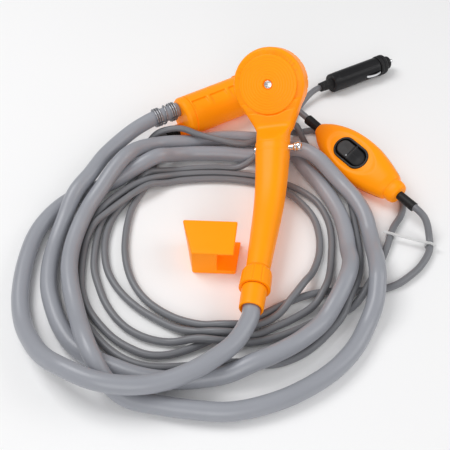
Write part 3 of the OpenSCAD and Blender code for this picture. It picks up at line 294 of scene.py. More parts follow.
plugCordMid = [
    [80, 168, 4], [73, 150, 4], [74, 138, 5], [76, 128, 12], [84.5, 107, 5], [95, 81, 4], [106, 61.5, 4],
    [116, 45, 4], [121, 28, 4], [122, 5, 4], [122, -15, 4], [122, -35, 4], [120, -55, 6], [115, -74, 11],
    [106, -93, 11.5], [97, -112, 9.5], [79, -131, 4], [60, -146, 4], [38, -154, 4], [15, -152, 4],
    [-10, -153, 4], [-38, -156, 4], [-60, -156, 4], [-79, -150, 4], [-95, -139, 4], [-109, -124, 4],
    [-121, -108, 4], [-131, -88, 4], [-136, -66, 4], [-137, -42, 4], [-134, -18, 4], [-126, 0, 4],
    [-114, 15, 11], [-102, 30, 11], [-88, 43, 11], [-71, 52, 11], [-52, 62, 5], [-30, 65.5, 4],
    [-8, 66, 4], [14, 64, 4], [36, 60, 4], [52, 54, 4], [66, 47, 4], [79, 37, 4], [89, 25, 4],
    [95, 10, 4], [98, -6, 4], [98, -24, 4], [96, -42, 4], [93, -60, 5], [87, -80, 11], [76, -97, 6],
    [59, -109, 4], [42, -118, 4], [24, -126, 4], [7, -128, 11], [-10, -127, 11], [-25, -124, 6],
    [-42, -119, 4], [-60, -109, 4], [-75, -98, 4], [-88, -85, 4], [-98, -71, 4], [-105, -56, 4],
    [-109, -38, 4], [-110, -18, 4], [-107, 2, 4], [-101, 17, 4], [-94, 30, 4], [-88, 43, 3.6],
    [-84, 54, 5.5], [-75, 60.5, 11], [-61, 66.5, 7], [-48, 70.5, 4], [-30, 73, 4], [-8, 74, 4], [12, 73, 5],
    [27, 76, 13], [37, 85, 21.5], [45, 98, 21], [54, 110, 19.5], [64, 121, 11], [77, 128, 4],
    [98, 132, 3.6], [119, 119.5, 3.6], [132, 98, 3.6], [145, 79, 3.6], [160, 58.5, 3.6], [171, 37.5, 3.6],
    [169, 13, 3.8], [157, -8, 4], [149, -28, 4], [141, -46, 4], [133, -62, 5], [125, -77, 11], [117, -90, 9],
    [106, -100, 4], [92, -106, 4], [75, -113, 4], [58, -122, 4], [40, -129, 4], [20, -134, 5], [-2, -136, 11],
    [-22, -134, 11], [-44, -133, 4], [-62, -130, 4], [-78, -122, 4], [-91, -110, 4], [-102, -94, 4],
    [-110, -76, 4], [-116, -58, 4], [-118, -40, 4], [-118, -20, 4], [-116, -2, 4], [-111, 14, 3.6],
    [-103, 32, 3.6], [-95, 48, 3.6], [-88, 62, 3.6], [-84, 78, 4], [-82, 93, 6], [-77, 105, 13],
    [-66, 111, 20], [-46, 112.5, 23], [-28, 107, 20], [-10, 101, 19], [8, 96, 18], [23, 96, 17],
    [34, 103, 18], [40, 116, 20], [46, 132, 18], [54, 146, 18], [65, 152, 19]]
hoseSettings = {"diameter": 15.0, "step": 3.0, "sides": 28}
cordSettings = {"diameter": 6.5, "step": 2.5, "sides": 18}


def routeThrough(first, middle, last):
    # Ends are already on the table, the middle still needs the shift of the whole lay
    return np.vstack([first, np.asarray(middle, float) + lay, last])


def putCord(name, route, settings, replaced):
    # Tube along the smoothed route, with its measured length printed
    line, length = smoothRoute(route, settings["step"])
    tube = sweep(line, settings["diameter"] / 2, settings["sides"])
    slot = replaced.split("_")[1]
    obj = putGrid(name, tube, slot, flip=True)
    dress(obj, slot, replaced)
    print(name, "length in millimetres", round(length))


hoseRoute = routeThrough(onPump([[-9.3, 6, 8], [-25, 6, 8], [-40, 6, 8]]), hoseMid,
                         onHandset([[-16, 0, 0], [0, 0, 0], [22.3, 0, 0]]))
pumpCordRoute = routeThrough(onSwitch([[65, 0, 15], [91, 0, 15]]), pumpCordMid,
                             onPump([[-37, -2, -12.5], [-16, -2, -12.5]]))
plugCordRoute = routeThrough(onPlug([[14, 0, 0], [-8, 0, 0]]), plugCordMid,
                             onSwitch([[-91, 0, 15], [-65, 0, 15]]))
putCord("hoseTube", hoseRoute, hoseSettings, "shower_hose")
putCord("pumpCordTube", pumpCordRoute, cordSettings, "pump_cord")
putCord("plugCordTube", plugCordRoute, cordSettings, "plug_cord")
print("hose and cords laid")

# Pump casing, a tube with three shallow panels that start at a ledge near its top
casingSettings = {
    "start": 0.3, "end": 63.6, "radius": 21.0, "wall": 2.2, "edge": 0.8, "ledge": 100.0, "ledgeStep": 1.6,
    "fade": 38.0, "depth": 1.5, "panels": ((1.8, 19.4), (23.6, 41.8), (46.0, 61.8)), "corner": 0.5,
    "cornerRows": (-0.05, 0.12, 0.25, 0.38, 0.55), "columns": 220,
}


def casingRadius(x, angle):
    # Full radius less the panel depth, which starts at the ledge and fades out round the tube
    s = casingSettings
    window = np.zeros_like(x)
    for a, b in s["panels"]:
        rise, fall = (x - a) / s["corner"], (b - x) / s["corner"]
        window = np.maximum(window, np.clip(rise, 0, 1) * np.clip(fall, 0, 1))
    past = angle - s["ledge"]
    step = np.clip(past / s["ledgeStep"], 0, 1)
    fade = np.clip(1 - past / s["fade"], 0, 1)
    fade = fade * fade * (3 - 2 * fade)
    inset = np.minimum(x - s["start"], s["end"] - x)
    roundEnd = s["edge"] - np.sqrt(np.maximum(s["edge"] ** 2 - np.maximum(s["edge"] - inset, 0) ** 2, 0))
    return s["radius"] - s["depth"] * window * step * fade - roundEnd


def casingSkin():
    # Rows along the tube, close together at the panels' ends, and columns round it, close together at the ledge
    s = casingSettings
    edges = [s["start"] + s["edge"] * (1 - math.cos(t)) for t in np.linspace(0, math.pi / 2, 6)]
    stations = list(edges)
    for a, b in s["panels"]:
        stations += [a + c for c in s["cornerRows"]] + [b - c for c in s["cornerRows"]]
        stations += list(np.linspace(a + 2, b - 2, 8))
    stations += [s["start"] + s["end"] - e for e in edges[::-1]]
    stations = np.array(sorted(stations))
    angles = s["ledge"] + np.concatenate([np.linspace(1.8, 359, s["columns"], endpoint=False),
                                          np.linspace(359.5, 361.7, 8)])
    x, a = np.meshgrid(stations, angles - 360, indexing="ij")
    a = np.where(a < s["ledge"] - 1, a + 360, a)
    r = casingRadius(x, a)
    t = np.radians(a)
    return np.stack([x, r * np.cos(t), r * np.sin(t)], axis=-1)


skin = casingSkin()
rows, cols = skin.shape[:2]
inner = skin.copy()
inner[..., 1:] *= ((casingSettings["radius"] - casingSettings["wall"])
                   / np.linalg.norm(skin[..., 1:], axis=-1))[..., None]
base, last = rows * cols, (rows - 1) * cols
faces = np.vstack([gridFaces(rows, cols, True), gridFaces(rows, cols, True, base, True)])
ends = []
for k in range(cols):
    n = (k + 1) % cols
    ends.append([k, base + k, base + n, n])
    ends.append([last + k, last + n, base + last + n, base + last + k])
casing = putMesh("casingSkin", onPump(np.concatenate([skin, inner])), faces, materials["orange"], caps=ends)
dress(casing, "orange", "pump_casing")
print("pump casing made")

# Hand shower body, one surface round a spine that bows along the handle and bends into the head
handsetSettings = {
    "start": 34.4, "end": 213.0, "lowRadius": 10.35, "highRadius": 16.0, "section": 2.5, "valveAt": 168.0,
    "bowAt": 126.0, "bow": 19.0, "bowReach": 30.0,
    "headRadius": 35.5, "headDepth": 17.0, "headBend": 36.0, "rim": 5.0, "frontRim": 1.0,
    "neckAt": -46.0, "neckHalf": 16.6, "shoulder": (179.5, 15.8, 0.55, 0.835), "blend": 5.0,
    "ridges": ((168.5, 0.22, 1.1), (177.6, 0.6, 1.5)), "discRadius": 29.0, "grooveOut": 0.3, "groove": 0.95,
    "seat": 2.5, "shoulderBlend": 1.4, "fineFrom": 164.0, "fineTo": 194.0, "headFlat": 4.0, "reach": 48.0,
    "columns": 144,
}
bowTurn = turn("y", -handsetSettings["bow"])
headTurn = turn("y", -handsetSettings["headBend"])
headOrigin = np.array([231.961, 0.0, 27.170])  # middle of the head's back, in the frame of the handle's upper half
bowPoint = np.array([handsetSettings["bowAt"], 0.0, 0.0])


def toUpper(p):
    # Points of the hand shower's frame in the frame of the handle's upper half
    return (p - bowPoint) @ bowTurn + bowPoint


def fromUpper(p):
    # The way back
    return (np.asarray(p, float) - bowPoint) @ bowTurn.T + bowPoint


def alongHandle(p):
    # Station and height along the handle, which is straight, then an arc, then straight again
    s = handsetSettings
    angle = math.radians(s["bow"])
    radius = s["bowReach"] / math.tan(angle / 2)
    x, z = p[..., 0] - (s["bowAt"] - s["bowReach"]), radius - p[..., 2]
    turned = np.arctan2(x, z)
    upper = toUpper(p)
    longer = 2 * s["bowReach"] - radius * angle
    onArc = s["bowAt"] - s["bowReach"] + turned * (radius + longer / angle)
    station = np.where(turned < 0, p[..., 0], np.where(turned > angle, upper[..., 0], onArc))
    height = np.where(turned < 0, p[..., 2], np.where(turned > angle, upper[..., 2], radius - np.hypot(x, z)))
    return station, height


def softMax(a, b, width):
    # The larger of two fields, with a rounded change from one to the other
    h = np.clip(0.5 + 0.5 * (a - b) / width, 0, 1)
    return b * (1 - h) + a * h + width * h * (1 - h)


def handleField(p):
    # Distance to a growing superellipse with two raised rings, cut by a sloping shoulder at the neck
    s = handsetSettings
    x, z = alongHandle(p)
    f = np.clip((x - s["start"]) / (s["valveAt"] - s["start"]), 0, 1)
    radius = s["lowRadius"] + (s["highRadius"] - s["lowRadius"]) * f
    for at, height, width in s["ridges"]:
        radius = radius + height * np.exp(-((x - at) / width) ** 2)
    n = 2 + (s["section"] - 2) * f
    across = (np.abs(p[..., 1]) ** n + np.abs(z) ** n) ** (1 / n)
    at, top, slopeX, slopeZ = s["shoulder"]
    shoulder = (x - at) * slopeX + (z - top) * slopeZ
    return np.maximum(softMax(across - radius, shoulder, s["shoulderBlend"]), x - s["end"])


def headField(p):
    # Distance to a disc drawn out to the neck by its two tangents, with a wide rim behind
    s = handsetSettings
    q = (toUpper(p) - headOrigin) @ headTurn
    u, v = q[..., 0], np.abs(q[..., 1])
    reach = math.hypot(s["neckAt"], s["neckHalf"])
    tangent = math.atan2(s["neckHalf"], s["neckAt"]) - math.acos(s["headRadius"] / reach)
    line = u * math.cos(tangent) + v * math.sin(tangent)
    plan = np.where(np.arctan2(v, u) < tangent, np.hypot(u, v), line) - s["headRadius"]
    plan = np.maximum(plan, s["neckAt"] - u)
    middle = -s["headDepth"] / 2
    r = np.where(q[..., 2] > middle, s["rim"], s["frontRim"])
    a = plan + r
    b = np.abs(q[..., 2] - middle) - (s["headDepth"] / 2 - r)
    return np.minimum(np.maximum(a, b), 0) + np.hypot(np.maximum(a, 0), np.maximum(b, 0)) - r


def handsetField(p):
    # Soft union of handle and head, less the back disc's seat and a round groove at its edge
    s = handsetSettings
    body = -softMax(-handleField(p), -headField(p), s["blend"])
    q = (toUpper(p) - headOrigin) @ headTurn
    out = np.hypot(q[..., 0], q[..., 1]) - s["discRadius"]
    groove = np.hypot(out - s["grooveOut"], q[..., 2]) - s["groove"]
    seat = np.maximum(out, -s["seat"] - q[..., 2])
    return np.maximum(np.maximum(body, -groove), -seat)


def handsetRows():
    # Origins and directions of the rays of each row, from the handle's foot to the top of the head
    s = handsetSettings
    around = np.linspace(0, fullTurn, s["columns"], endpoint=False)
    origins, rays = [], []

    def row(origin, bend, flat, rise):
        # One ring of rays, square to the spine, drawn flat in the head and fanned out over its top
        m = turn("y", -bend)
        y, z = np.cos(around) * flat, np.sin(around)
        size = np.hypot(y, z)
        local = np.stack([np.full_like(y, math.tan(rise)), y / size, z / size], axis=1)
        local /= np.linalg.norm(local, axis=1)[:, None]
        origins.append(np.broadcast_to(origin, local.shape))
        rays.append(local @ m.T)

    begin = s["bowAt"] - s["bowReach"]
    for x in np.linspace(s["start"], begin, 20):
        row(np.array([x, 0.0, 0.0]), 0.0, 1.0, 0.0)
    radius = s["bowReach"] / math.tan(math.radians(s["bow"]) / 2)
    for f in np.linspace(0, 1, 22)[1:]:
        a = math.radians(s["bow"]) * f
        row(np.array([begin + radius * math.sin(a), 0.0, radius * (1 - math.cos(a))]), s["bow"] * f, 1.0, 0.0)
    last, fineFrom, fineTo = s["bowAt"] + s["bowReach"], s["fineFrom"], s["fineTo"]
    for x in np.concatenate([np.linspace(last, fineFrom, 6)[1:], np.linspace(fineFrom + 0.5, fineTo, 66)]):
        row(fromUpper([x, 0.0, 0.0]), s["bow"], 1.0, 0.0)
    centre = fromUpper(headOrigin + headTurn @ np.array([0, 0, -s["headDepth"] / 2]))
    start = fromUpper([fineTo, 0.0, 0.0])
    for f in np.linspace(0, 1, 70)[1:]:
        e = f * f * (3 - 2 * f)
        bend = s["bow"] + s["headBend"] * min(1.0, 1.5 * e)
        row(start + (centre - start) * f, bend, 1 + (s["headFlat"] - 1) * e, 0.0)
    for f in np.linspace(0, 1, 70)[1:]:
        row(centre, s["bow"] + s["headBend"], s["headFlat"], f * 1.56)
    return np.array(origins), np.array(rays)


def handsetSurface():
    # Bisection along every ray for the place where the field crosses zero
    origins, rays = handsetRows()
    near, far = np.zeros(origins.shape[:2]), np.full(origins.shape[:2], handsetSettings["reach"])
    for _ in range(26):
        half = (near + far) / 2
        inside = handsetField(origins + rays * half[..., None]) < 0
        near, far = np.where(inside, half, near), np.where(inside, far, half)
    return origins + rays * near[..., None]


dress(putGrid("handsetBody", onHandset(handsetSurface()), "orange"), "orange", "handset_shell")
print("hand shower body made")

# Back disc with turned rings and a sunk cross screw
discSettings = {"radius": 28.7, "edge": 1.0, "rise": 0.35, "foot": -1.4, "well": 5.0, "wellDepth": 2.6, "dome": 0.7,
                "ringPitch": 2.6, "ringHeight": 0.07, "sides": 144, "screwRadius": 3.7, "screwTop": 0.55,
                "screwDome": 0.7, "slotHalf": 0.45, "slotReach": 2.3, "slotDepth": 1.1}


def onHead(points):
    # Points of the head's own frame, its back in the XY plane, on the table
    return onHandset(fromUpper(np.asarray(points, float) @ headTurn.T + headOrigin))


def revolve(profile, sides):
    # Points of a profile of radius and height turned round the local Z axis
    profile = np.asarray(profile, float)
    a = np.linspace(0, fullTurn, sides, endpoint=False)
    return np.stack([profile[:, :1] * np.cos(a), profile[:, :1] * np.sin(a),
                     np.repeat(profile[:, 1:], sides, axis=1)], axis=-1)


def discProfile():
    # From the well's floor up its wall, over the domed ringed face and down the rounded edge
    s = discSettings
    r = np.linspace(s["well"] + 0.5, s["radius"] - s["edge"], 150)
    rings = s["ringHeight"] * np.cos(fullTurn * r / s["ringPitch"])
    z = s["dome"] * (1 - (r / s["radius"]) ** 2) + s["rise"] + rings
    face = np.stack([r, z], axis=1)
    t = np.linspace(0, math.pi / 2, 8)
    edge = np.stack([s["radius"] - s["edge"] + s["edge"] * np.sin(t), z[-1] - s["edge"] * (1 - np.cos(t))], axis=1)
    wellFloor = z[0] - s["wellDepth"]
    well = [[0.01, wellFloor], [s["well"] - 0.3, wellFloor], [s["well"], wellFloor + 0.3],
            [s["well"], z[0] - 0.5], [s["well"] + 0.15, z[0] - 0.15]]
    return np.vstack([well, face, edge, [[s["radius"], s["foot"]]]])


discGrid = revolve(discProfile(), discSettings["sides"])
dress(putGrid("discFace", onHead(discGrid), "orange", flip=True), "orange", "head_back_disc")


def screwHead():
    # Low dome on a polar grid, pressed down inside a cross of two tapering slots
    s = discSettings
    r = np.concatenate([np.linspace(0.02, s["screwRadius"], 40), [s["screwRadius"], s["screwRadius"]]])
    a = np.linspace(0, fullTurn, 160, endpoint=False)
    rr, aa = np.meshgrid(r, a, indexing="ij")
    x, y = rr * np.cos(aa), rr * np.sin(aa)
    z = s["screwTop"] - s["screwDome"] * (rr / s["screwRadius"]) ** 2
    slot = np.minimum(np.maximum(np.abs(x) - s["slotHalf"], np.abs(y) - s["slotReach"]),
                      np.maximum(np.abs(y) - s["slotHalf"], np.abs(x) - s["slotReach"]))
    z = z - s["slotDepth"] * np.clip(0.5 - slot / 0.3, 0, 1)
    z[-2, :] = s["screwTop"] - 1.0
    z[-1, :] = s["screwTop"] - 2.0
    return np.stack([x, y, z], axis=-1)


dress(putGrid("screwHead", onHead(screwHead()), "screw", flip=True), "steel", "disc_screw")
print("back disc and screw made")

# Loose hanger, a C section drawn from front to back with soft moulded edges
hangerSettings = {"near": 36.4, "wide": 50.0, "depth": 39.0, "height": 28.0, "flare": 2.4, "foot": 4.5,
                  "footOut": (2.2, 3.2), "lean": 3.8, "shorten": 0.12, "channel": 14.2, "top": 25.5, "edge": 1.3,
                  "turn": -2.8, "rounds": (1.8, 1.8, 0.7, 0.9, 0.9, 0.5, 1.6, 2.0), "arcSteps": 7}


def roundedOutline(corners, radii, steps):
    # Closed outline with an arc at each corner, and the outward direction at each of its points
    p = np.asarray(corners, float)
    out, normals = [], []
    for i in range(len(p)):
        a, b, c = p[i - 1], p[i], p[(i + 1) % len(p)]
        u, w = (a - b) / np.linalg.norm(a - b), (c - b) / np.linalg.norm(c - b)
        half = math.acos(np.clip(u @ w, -1, 1)) / 2
        centre = b + (u + w) / np.linalg.norm(u + w) * radii[i] / math.sin(half)
        side = 1.0 if (b - a)[0] * (c - b)[1] - (b - a)[1] * (c - b)[0] > 0 else -1.0
        ends = [b + v * radii[i] / math.tan(half) - centre for v in (u, w)]
        first = math.atan2(ends[0][1], ends[0][0])
        swept = (math.atan2(ends[1][1], ends[1][0]) - first + math.pi) % fullTurn - math.pi
        for t in np.linspace(0, 1, steps):
            d = np.array([math.cos(first + swept * t), math.sin(first + swept * t)])
            out.append(centre + radii[i] * d)
            normals.append(side * d)
    return np.array(out), np.array(normals)


def hangerRows():
    # The section at each depth, drawn in along a quarter circle at both ends, its back leaning forward below
    s = hangerSettings
    half, deep, edge = s["near"] / 2, s["depth"], s["edge"]
    wall = half - s["channel"]
    t = np.linspace(0, math.pi / 2, 7)
    stations = [(edge - edge * math.cos(a), edge - edge * math.sin(a)) for a in t]
    stations += [(y, 0.0) for y in np.linspace(edge, deep - edge, 8)[1:-1]]
    stations += [(deep - edge + edge * math.sin(a), edge - edge * math.cos(a)) for a in t]
    rows = []
    for y, inset in stations:
        f = y / deep
        left, right = -half - f * (s["wide"] - s["near"] - s["flare"]), half + f * s["flare"]
        foot = right + s["footOut"][0] + f * (s["footOut"][1] - s["footOut"][0])
        corners = [[left + f * s["lean"], 0], [foot, 0], [foot, s["foot"]], [wall, s["foot"]], [wall, s["top"]],
                   [right, s["top"]], [right, s["height"]], [left, s["height"]]]
        outline, normals = roundedOutline(corners, s["rounds"], s["arcSteps"])
        outline = outline - normals * inset
        back = 1 - s["shorten"] * (1 - outline[:, 1] / s["height"])
        rows.append(np.column_stack([outline[:, 0], y * back, outline[:, 1]]))
    return np.array(rows)


section = hangerRows()
rows, cols = section.shape[:2]
centre = np.array([0.0, hangerSettings["depth"] / 2, 0.0])
hangerPoints = (section.reshape(-1, 3) - centre) @ turn("z", hangerSettings["turn"]).T + centre
# Each end is a strip of quads between the channel's corners, the third to the sixth, and the outer ones
arc = hangerSettings["arcSteps"]
inner = list(range(2 * arc, 6 * arc))
outer = list(range(2 * arc - 1, -1, -1)) + list(range(8 * arc - 1, 6 * arc - 1, -1))
strips = [[inner[k], inner[k + 1], outer[k + 1], outer[k]] for k in range(len(inner) - 1)]
ends = strips + [[v + (rows - 1) * cols for v in quad[::-1]] for quad in strips]
hangerBlock = putMesh("hangerBlock", onHanger(hangerPoints), gridFaces(rows, cols, True, flip=True),
                      materials["orange"], "hanger_body", caps=ends)
dress(hangerBlock, "orange", "hanger")
print("hanger made")

# Union nut with ten flat flutes, and the plain hose sleeve below it, both turned round the handle's axis
nutSettings = {"flutes": 10, "phase": 0.25, "flat": 0.85, "groove": 1.0, "grooveWidth": 0.055, "columns": 240,
               "fluted": (15.2, 34.0), "fluteFade": (1.0, 1.2),
               "profile": ((15.0, 11.0), (15.0, 13.2), (15.3, 13.6), (15.9, 13.8), (17.0, 13.85), (30.6, 13.5),
                           (31.6, 13.3), (32.6, 12.8), (34.2, 11.2), (34.3, 10.2))}
sleeveSettings = {"columns": 96, "profile": ((-5.9, 8.8), (-5.9, 9.7), (-5.7, 10.05), (-5.2, 10.3), (5.0, 10.6),
                                            (14.4, 10.9), (14.9, 10.7), (14.9, 8.8))}


def fineProfile(profile, step):
    # The same profile with more points on its long spans
    p = np.asarray(profile, float)
    out = [p[0]]
    for a, b in zip(p[:-1], p[1:]):
        count = max(1, int(np.linalg.norm(b - a) / step))
        out += [a + (b - a) * k / count for k in range(1, count + 1)]
    return np.array(out)


def turnedAlong(profile, around, radiusAt):
    # Points of a profile of station and radius turned round the local X axis
    x, r = profile[:, :1], profile[:, 1:]
    reach = radiusAt(x, r, around[None, :])
    return np.stack([np.broadcast_to(x, reach.shape), reach * np.cos(around), reach * np.sin(around)], axis=-1)


def plainReach(x, r, a):
    # The same radius all the way round
    return r + 0 * a


def nutReach(x, r, a):
    # Radius pulled in towards the flats of a polygon, and a thin groove at each of its corners
    s = nutSettings
    pitch = fullTurn / s["flutes"]
    d = (a + s["phase"]) % pitch - pitch / 2
    first, last = s["fluted"]
    on = np.clip((x - first) / s["fluteFade"][0], 0, 1) * np.clip((last - x) / s["fluteFade"][1], 0, 1)
    flat = math.cos(pitch / 2) / np.cos(d)
    groove = s["groove"] * np.exp(-((np.abs(d) - pitch / 2) / s["grooveWidth"]) ** 2)
    return r * (1 + on * s["flat"] * (flat - 1)) - on * groove


around = np.linspace(0, fullTurn, nutSettings["columns"], endpoint=False)
nutGrid = turnedAlong(fineProfile(nutSettings["profile"], 0.7), around, nutReach)
dress(putGrid("unionNut", onHandset(nutGrid), "orange", "nut", ends="ring"), "orange", "union_nut")
around = np.linspace(0, fullTurn, sleeveSettings["columns"], endpoint=False)
sleeveGrid = turnedAlong(fineProfile(sleeveSettings["profile"], 1.5), around, plainReach)
dress(putGrid("hoseSleeve", onHandset(sleeveGrid), "orange", ends="ring"), "orange", "hose_sleeve")
print("union nut and sleeve made")

# In-line switch: a fish-shaped housing with a shallow dish, a black frame and rocker, and plain boots
switchSettings = {
    "centre": (128.0, 73.0, 19.1), "turn": -55.0, "roll": 33.0, "section": 2.35,
    "width": ((-53.0, 4.4), (-52.7, 5.4), (-51.6, 6.6), (-50.0, 7.7), (-46.0, 10.2), (-41.5, 12.9), (-34.0, 16.2),
              (-24.0, 19.5), (-12.0, 21.9), (2.0, 22.9), (14.0, 22.4), (26.0, 20.6), (36.0, 18.3), (46.0, 15.4),
              (51.5, 13.5), (52.8, 12.6), (53.4, 11.3), (54.4, 11.0), (56.0, 11.2), (59.5, 11.0), (62.0, 10.2),
              (63.4, 9.0), (64.0, 7.2), (64.1, 4.4)),
    "height": ((-53.0, 4.4), (-52.0, 5.6), (-50.0, 6.8), (-41.5, 10.0), (-24.0, 13.2), (2.0, 14.5), (26.0, 13.7),
               (46.0, 11.9), (51.5, 10.2), (52.8, 9.7), (53.4, 9.0), (54.4, 8.8), (56.0, 9.2), (59.5, 9.0),
               (62.0, 8.4), (63.4, 7.4), (64.0, 6.2), (64.1, 4.4)),
    "dish": (33.0, 17.5, 1.3), "dishSlope": 0.22, "dishAt": 1.0, "wellInset": 2.2, "wellDepth": 7.0, "wellEdge": 0.8,
    "frame": (41.0, 23.0, 36.4, 18.4), "frameSink": 0.8, "frameDepth": 5.0,
    "rocker": (33.6, 15.6), "tilt": 7.0, "pivot": 11.1, "rockerRise": 3.2, "divider": (0.6, 0.55),
    "dimple": (0.45, 8.5, 4.5), "seam": (-49.0, 51.0), "seamHalf": 0.4, "seamOut": 0.16, "collar": 52.0,
    "rows": 260, "collarRows": 60, "columns": 200,
}
bootSettings = {
    "bootLower": {"node": "boot_lower", "start": 63.6, "end": 84.0, "radius": (4.3, 4.6)},
    "bootUpper": {"node": "boot_upper", "start": -52.6, "end": -71.5, "radius": (4.7, 5.2)},
    "round": 0.8, "bore": 2.2, "ringPitch": 2.4, "ringDepth": 0.10, "columns": 64,
}
lookTurn = turn("z", switchSettings["turn"]) @ turn("x", switchSettings["roll"])
onSwitchLook = place(switchSettings["centre"], lookTurn)


def curveAt(points, x):
    # Smooth value between the listed stations, by a cubic that keeps the rises and falls of the list
    p = np.asarray(points, float)
    d = np.diff(p[:, 1]) / np.diff(p[:, 0])
    product = d[:-1] * d[1:]
    m = np.concatenate([[d[0]], np.where(product > 0, 2 * product / (d[:-1] + d[1:] + 1e-12), 0), [d[-1]]])
    i = np.clip(np.searchsorted(p[:, 0], x) - 1, 0, len(d) - 1)
    h = p[i + 1, 0] - p[i, 0]
    t = (x - p[i, 0]) / h
    return ((1 + 2 * t) * (1 - t) ** 2 * p[i, 1] + t * (1 - t) ** 2 * h * m[i]
            + t * t * (3 - 2 * t) * p[i + 1, 1] + t * t * (t - 1) * h * m[i + 1])


def pillDistance(x, y, length, width):
    # Distance to a stadium, negative inside it
    return np.hypot(np.maximum(np.abs(x) - (length - width) / 2, 0), y) - width / 2


def housingGrid():
    # Superellipse at each station, its top pressed in by the oval dish and by the well under the frame
    s = switchSettings
    ends = np.array([p[0] for p in s["width"]])
    x = np.unique(np.concatenate([np.linspace(ends[0], s["collar"], s["rows"]),
                                  np.linspace(s["collar"], ends[-1], s["collarRows"]), ends]))
    a = np.linspace(0, fullTurn, s["columns"], endpoint=False)
    w, h = curveAt(s["width"], x)[:, None], curveAt(s["height"], x)[:, None]
    power = 2 / s["section"]
    y = w * np.sign(np.cos(a)) * np.abs(np.cos(a)) ** power
    z = h * np.sign(np.sin(a)) * np.abs(np.sin(a)) ** power
    out = np.hypot((x[:, None] - s["dishAt"]) / s["dish"][0], y / s["dish"][1])
    dip = np.clip((1 - out) / s["dishSlope"], 0, 1)
    long, wide = (size - s["wellInset"] for size in s["frame"][:2])
    hole = np.clip(-pillDistance(x[:, None] - s["dishAt"], y, long, wide) / s["wellEdge"], 0, 1)
    z = np.where(z > 0, z - s["dish"][2] * dip * dip * (3 - 2 * dip) - s["wellDepth"] * hole, z)
    return np.stack([np.broadcast_to(x[:, None], y.shape), y, z], axis=-1)


def pillPath(length, width, inset):
    # Points round a stadium pulled inward, with a few close ones where the rocker's divider crosses
    c, r = (length - width) / 2, width / 2 - inset
    along = [-c, -c * 0.66, -c * 0.33, -1.2, -0.8, -0.4, 0.0]
    along = np.array(along + [-v for v in along[-2::-1]])
    arc = np.linspace(-math.pi / 2, math.pi / 2, 25)[1:-1]
    right = np.stack([c + r * np.cos(arc), r * np.sin(arc)], axis=1)
    low = np.stack([along, np.full_like(along, -r)], axis=1)
    return np.vstack([low, right, -low, -right])


def pillRings(length, width, profile, top):
    # One ring of the stadium for each inset and height of the profile, laid on the given surface
    rings = []
    for inset, height in profile:
        path = pillPath(length, width, inset)
        rings.append(np.column_stack([path, height + top(path[:, 0], path[:, 1])]))
    return np.array(rings)


def frameTop(x, y):
    # The housing's crown line, a little sunk
    return curveAt(switchSettings["height"], x) - switchSettings["frameSink"]


def rockerTop(x, y):
    # Two slopes that meet at the divider's groove, each with a shallow dimple
    s = switchSettings
    slope = -np.abs(x) * math.tan(math.radians(s["tilt"]))
    deep, at, wide = s["dimple"]
    dimple = deep * np.exp(-((np.abs(x) - at) / wide) ** 2 - (y / wide) ** 2)
    groove = s["divider"][0] * np.exp(-(x / s["divider"][1]) ** 2)
    return slope - groove - dimple


def turnedBoot(name, boot):
    # Plain sleeve round the switch's axis with a rounded end and faint rings
    b = bootSettings
    start, end, (thin, thick) = boot["start"], boot["end"], boot["radius"]
    sign = 1 if end > start else -1
    x = np.linspace(0, abs(end - start), 60)
    rings = b["ringDepth"] * (np.cos(x * fullTurn / b["ringPitch"]) > 0.86)
    r = thin + (thick - thin) * x / x[-1] - rings
    past = np.clip(x - x[-1] + b["round"], 0, b["round"])
    r = np.minimum(r, thick - b["round"] + np.sqrt(np.clip(b["round"] ** 2 - past ** 2, 0, None)))
    profile = np.vstack([np.stack([start + sign * x, r], axis=1), [[end, b["bore"]]]])
    a = np.linspace(0, fullTurn, b["columns"], endpoint=False)
    grid = onSwitchLook(turnedAlong(profile, a, plainReach))
    dress(putGrid(name, grid, "rubber", flip=sign < 0), "black", boot["node"])


dress(putGrid("switchHousing", onSwitchLook(housingGrid()), "orange"), "orange", "switch_top", "switch_base")
outer, inner = switchSettings["frame"][:2], switchSettings["frame"][2:]
wall, deep = (outer[1] - inner[1]) / 2, -switchSettings["frameDepth"]
ring = pillRings(outer[0], outer[1], ((0.0, deep - 0.4), (0.0, -0.5), (0.2, -0.15), (0.6, 0.0), (wall - 0.5, 0.0),
                 (wall - 0.15, -0.15), (wall, -0.5), (wall, deep), (outer[1] / 2 - 0.2, deep)), frameTop)
ring[..., 0] += switchSettings["dishAt"]
dress(putGrid("rockerFrame", onSwitchLook(ring), "black"), "black", "rocker_frame")
length, width = switchSettings["rocker"]
face = pillRings(length, width, ((0.8, -5.0), (0.0, -4.0), (0.0, -0.9), (0.1, -0.5), (0.35, -0.15), (0.8, 0.0),
                 (1.8, 0.0), (3.2, 0.0), (4.6, 0.0), (6.0, 0.0), (7.2, 0.0), (width / 2 - 0.02, 0.0)), rockerTop)
pivot = np.array([switchSettings["dishAt"], 0.0, switchSettings["pivot"]])
face = (face + np.array([0, 0, switchSettings["rockerRise"]])) @ turn("y", switchSettings["tilt"]).T + pivot
dress(putGrid("rockerFace", onSwitchLook(face), "black", "rocker_body"), "black", "rocker")
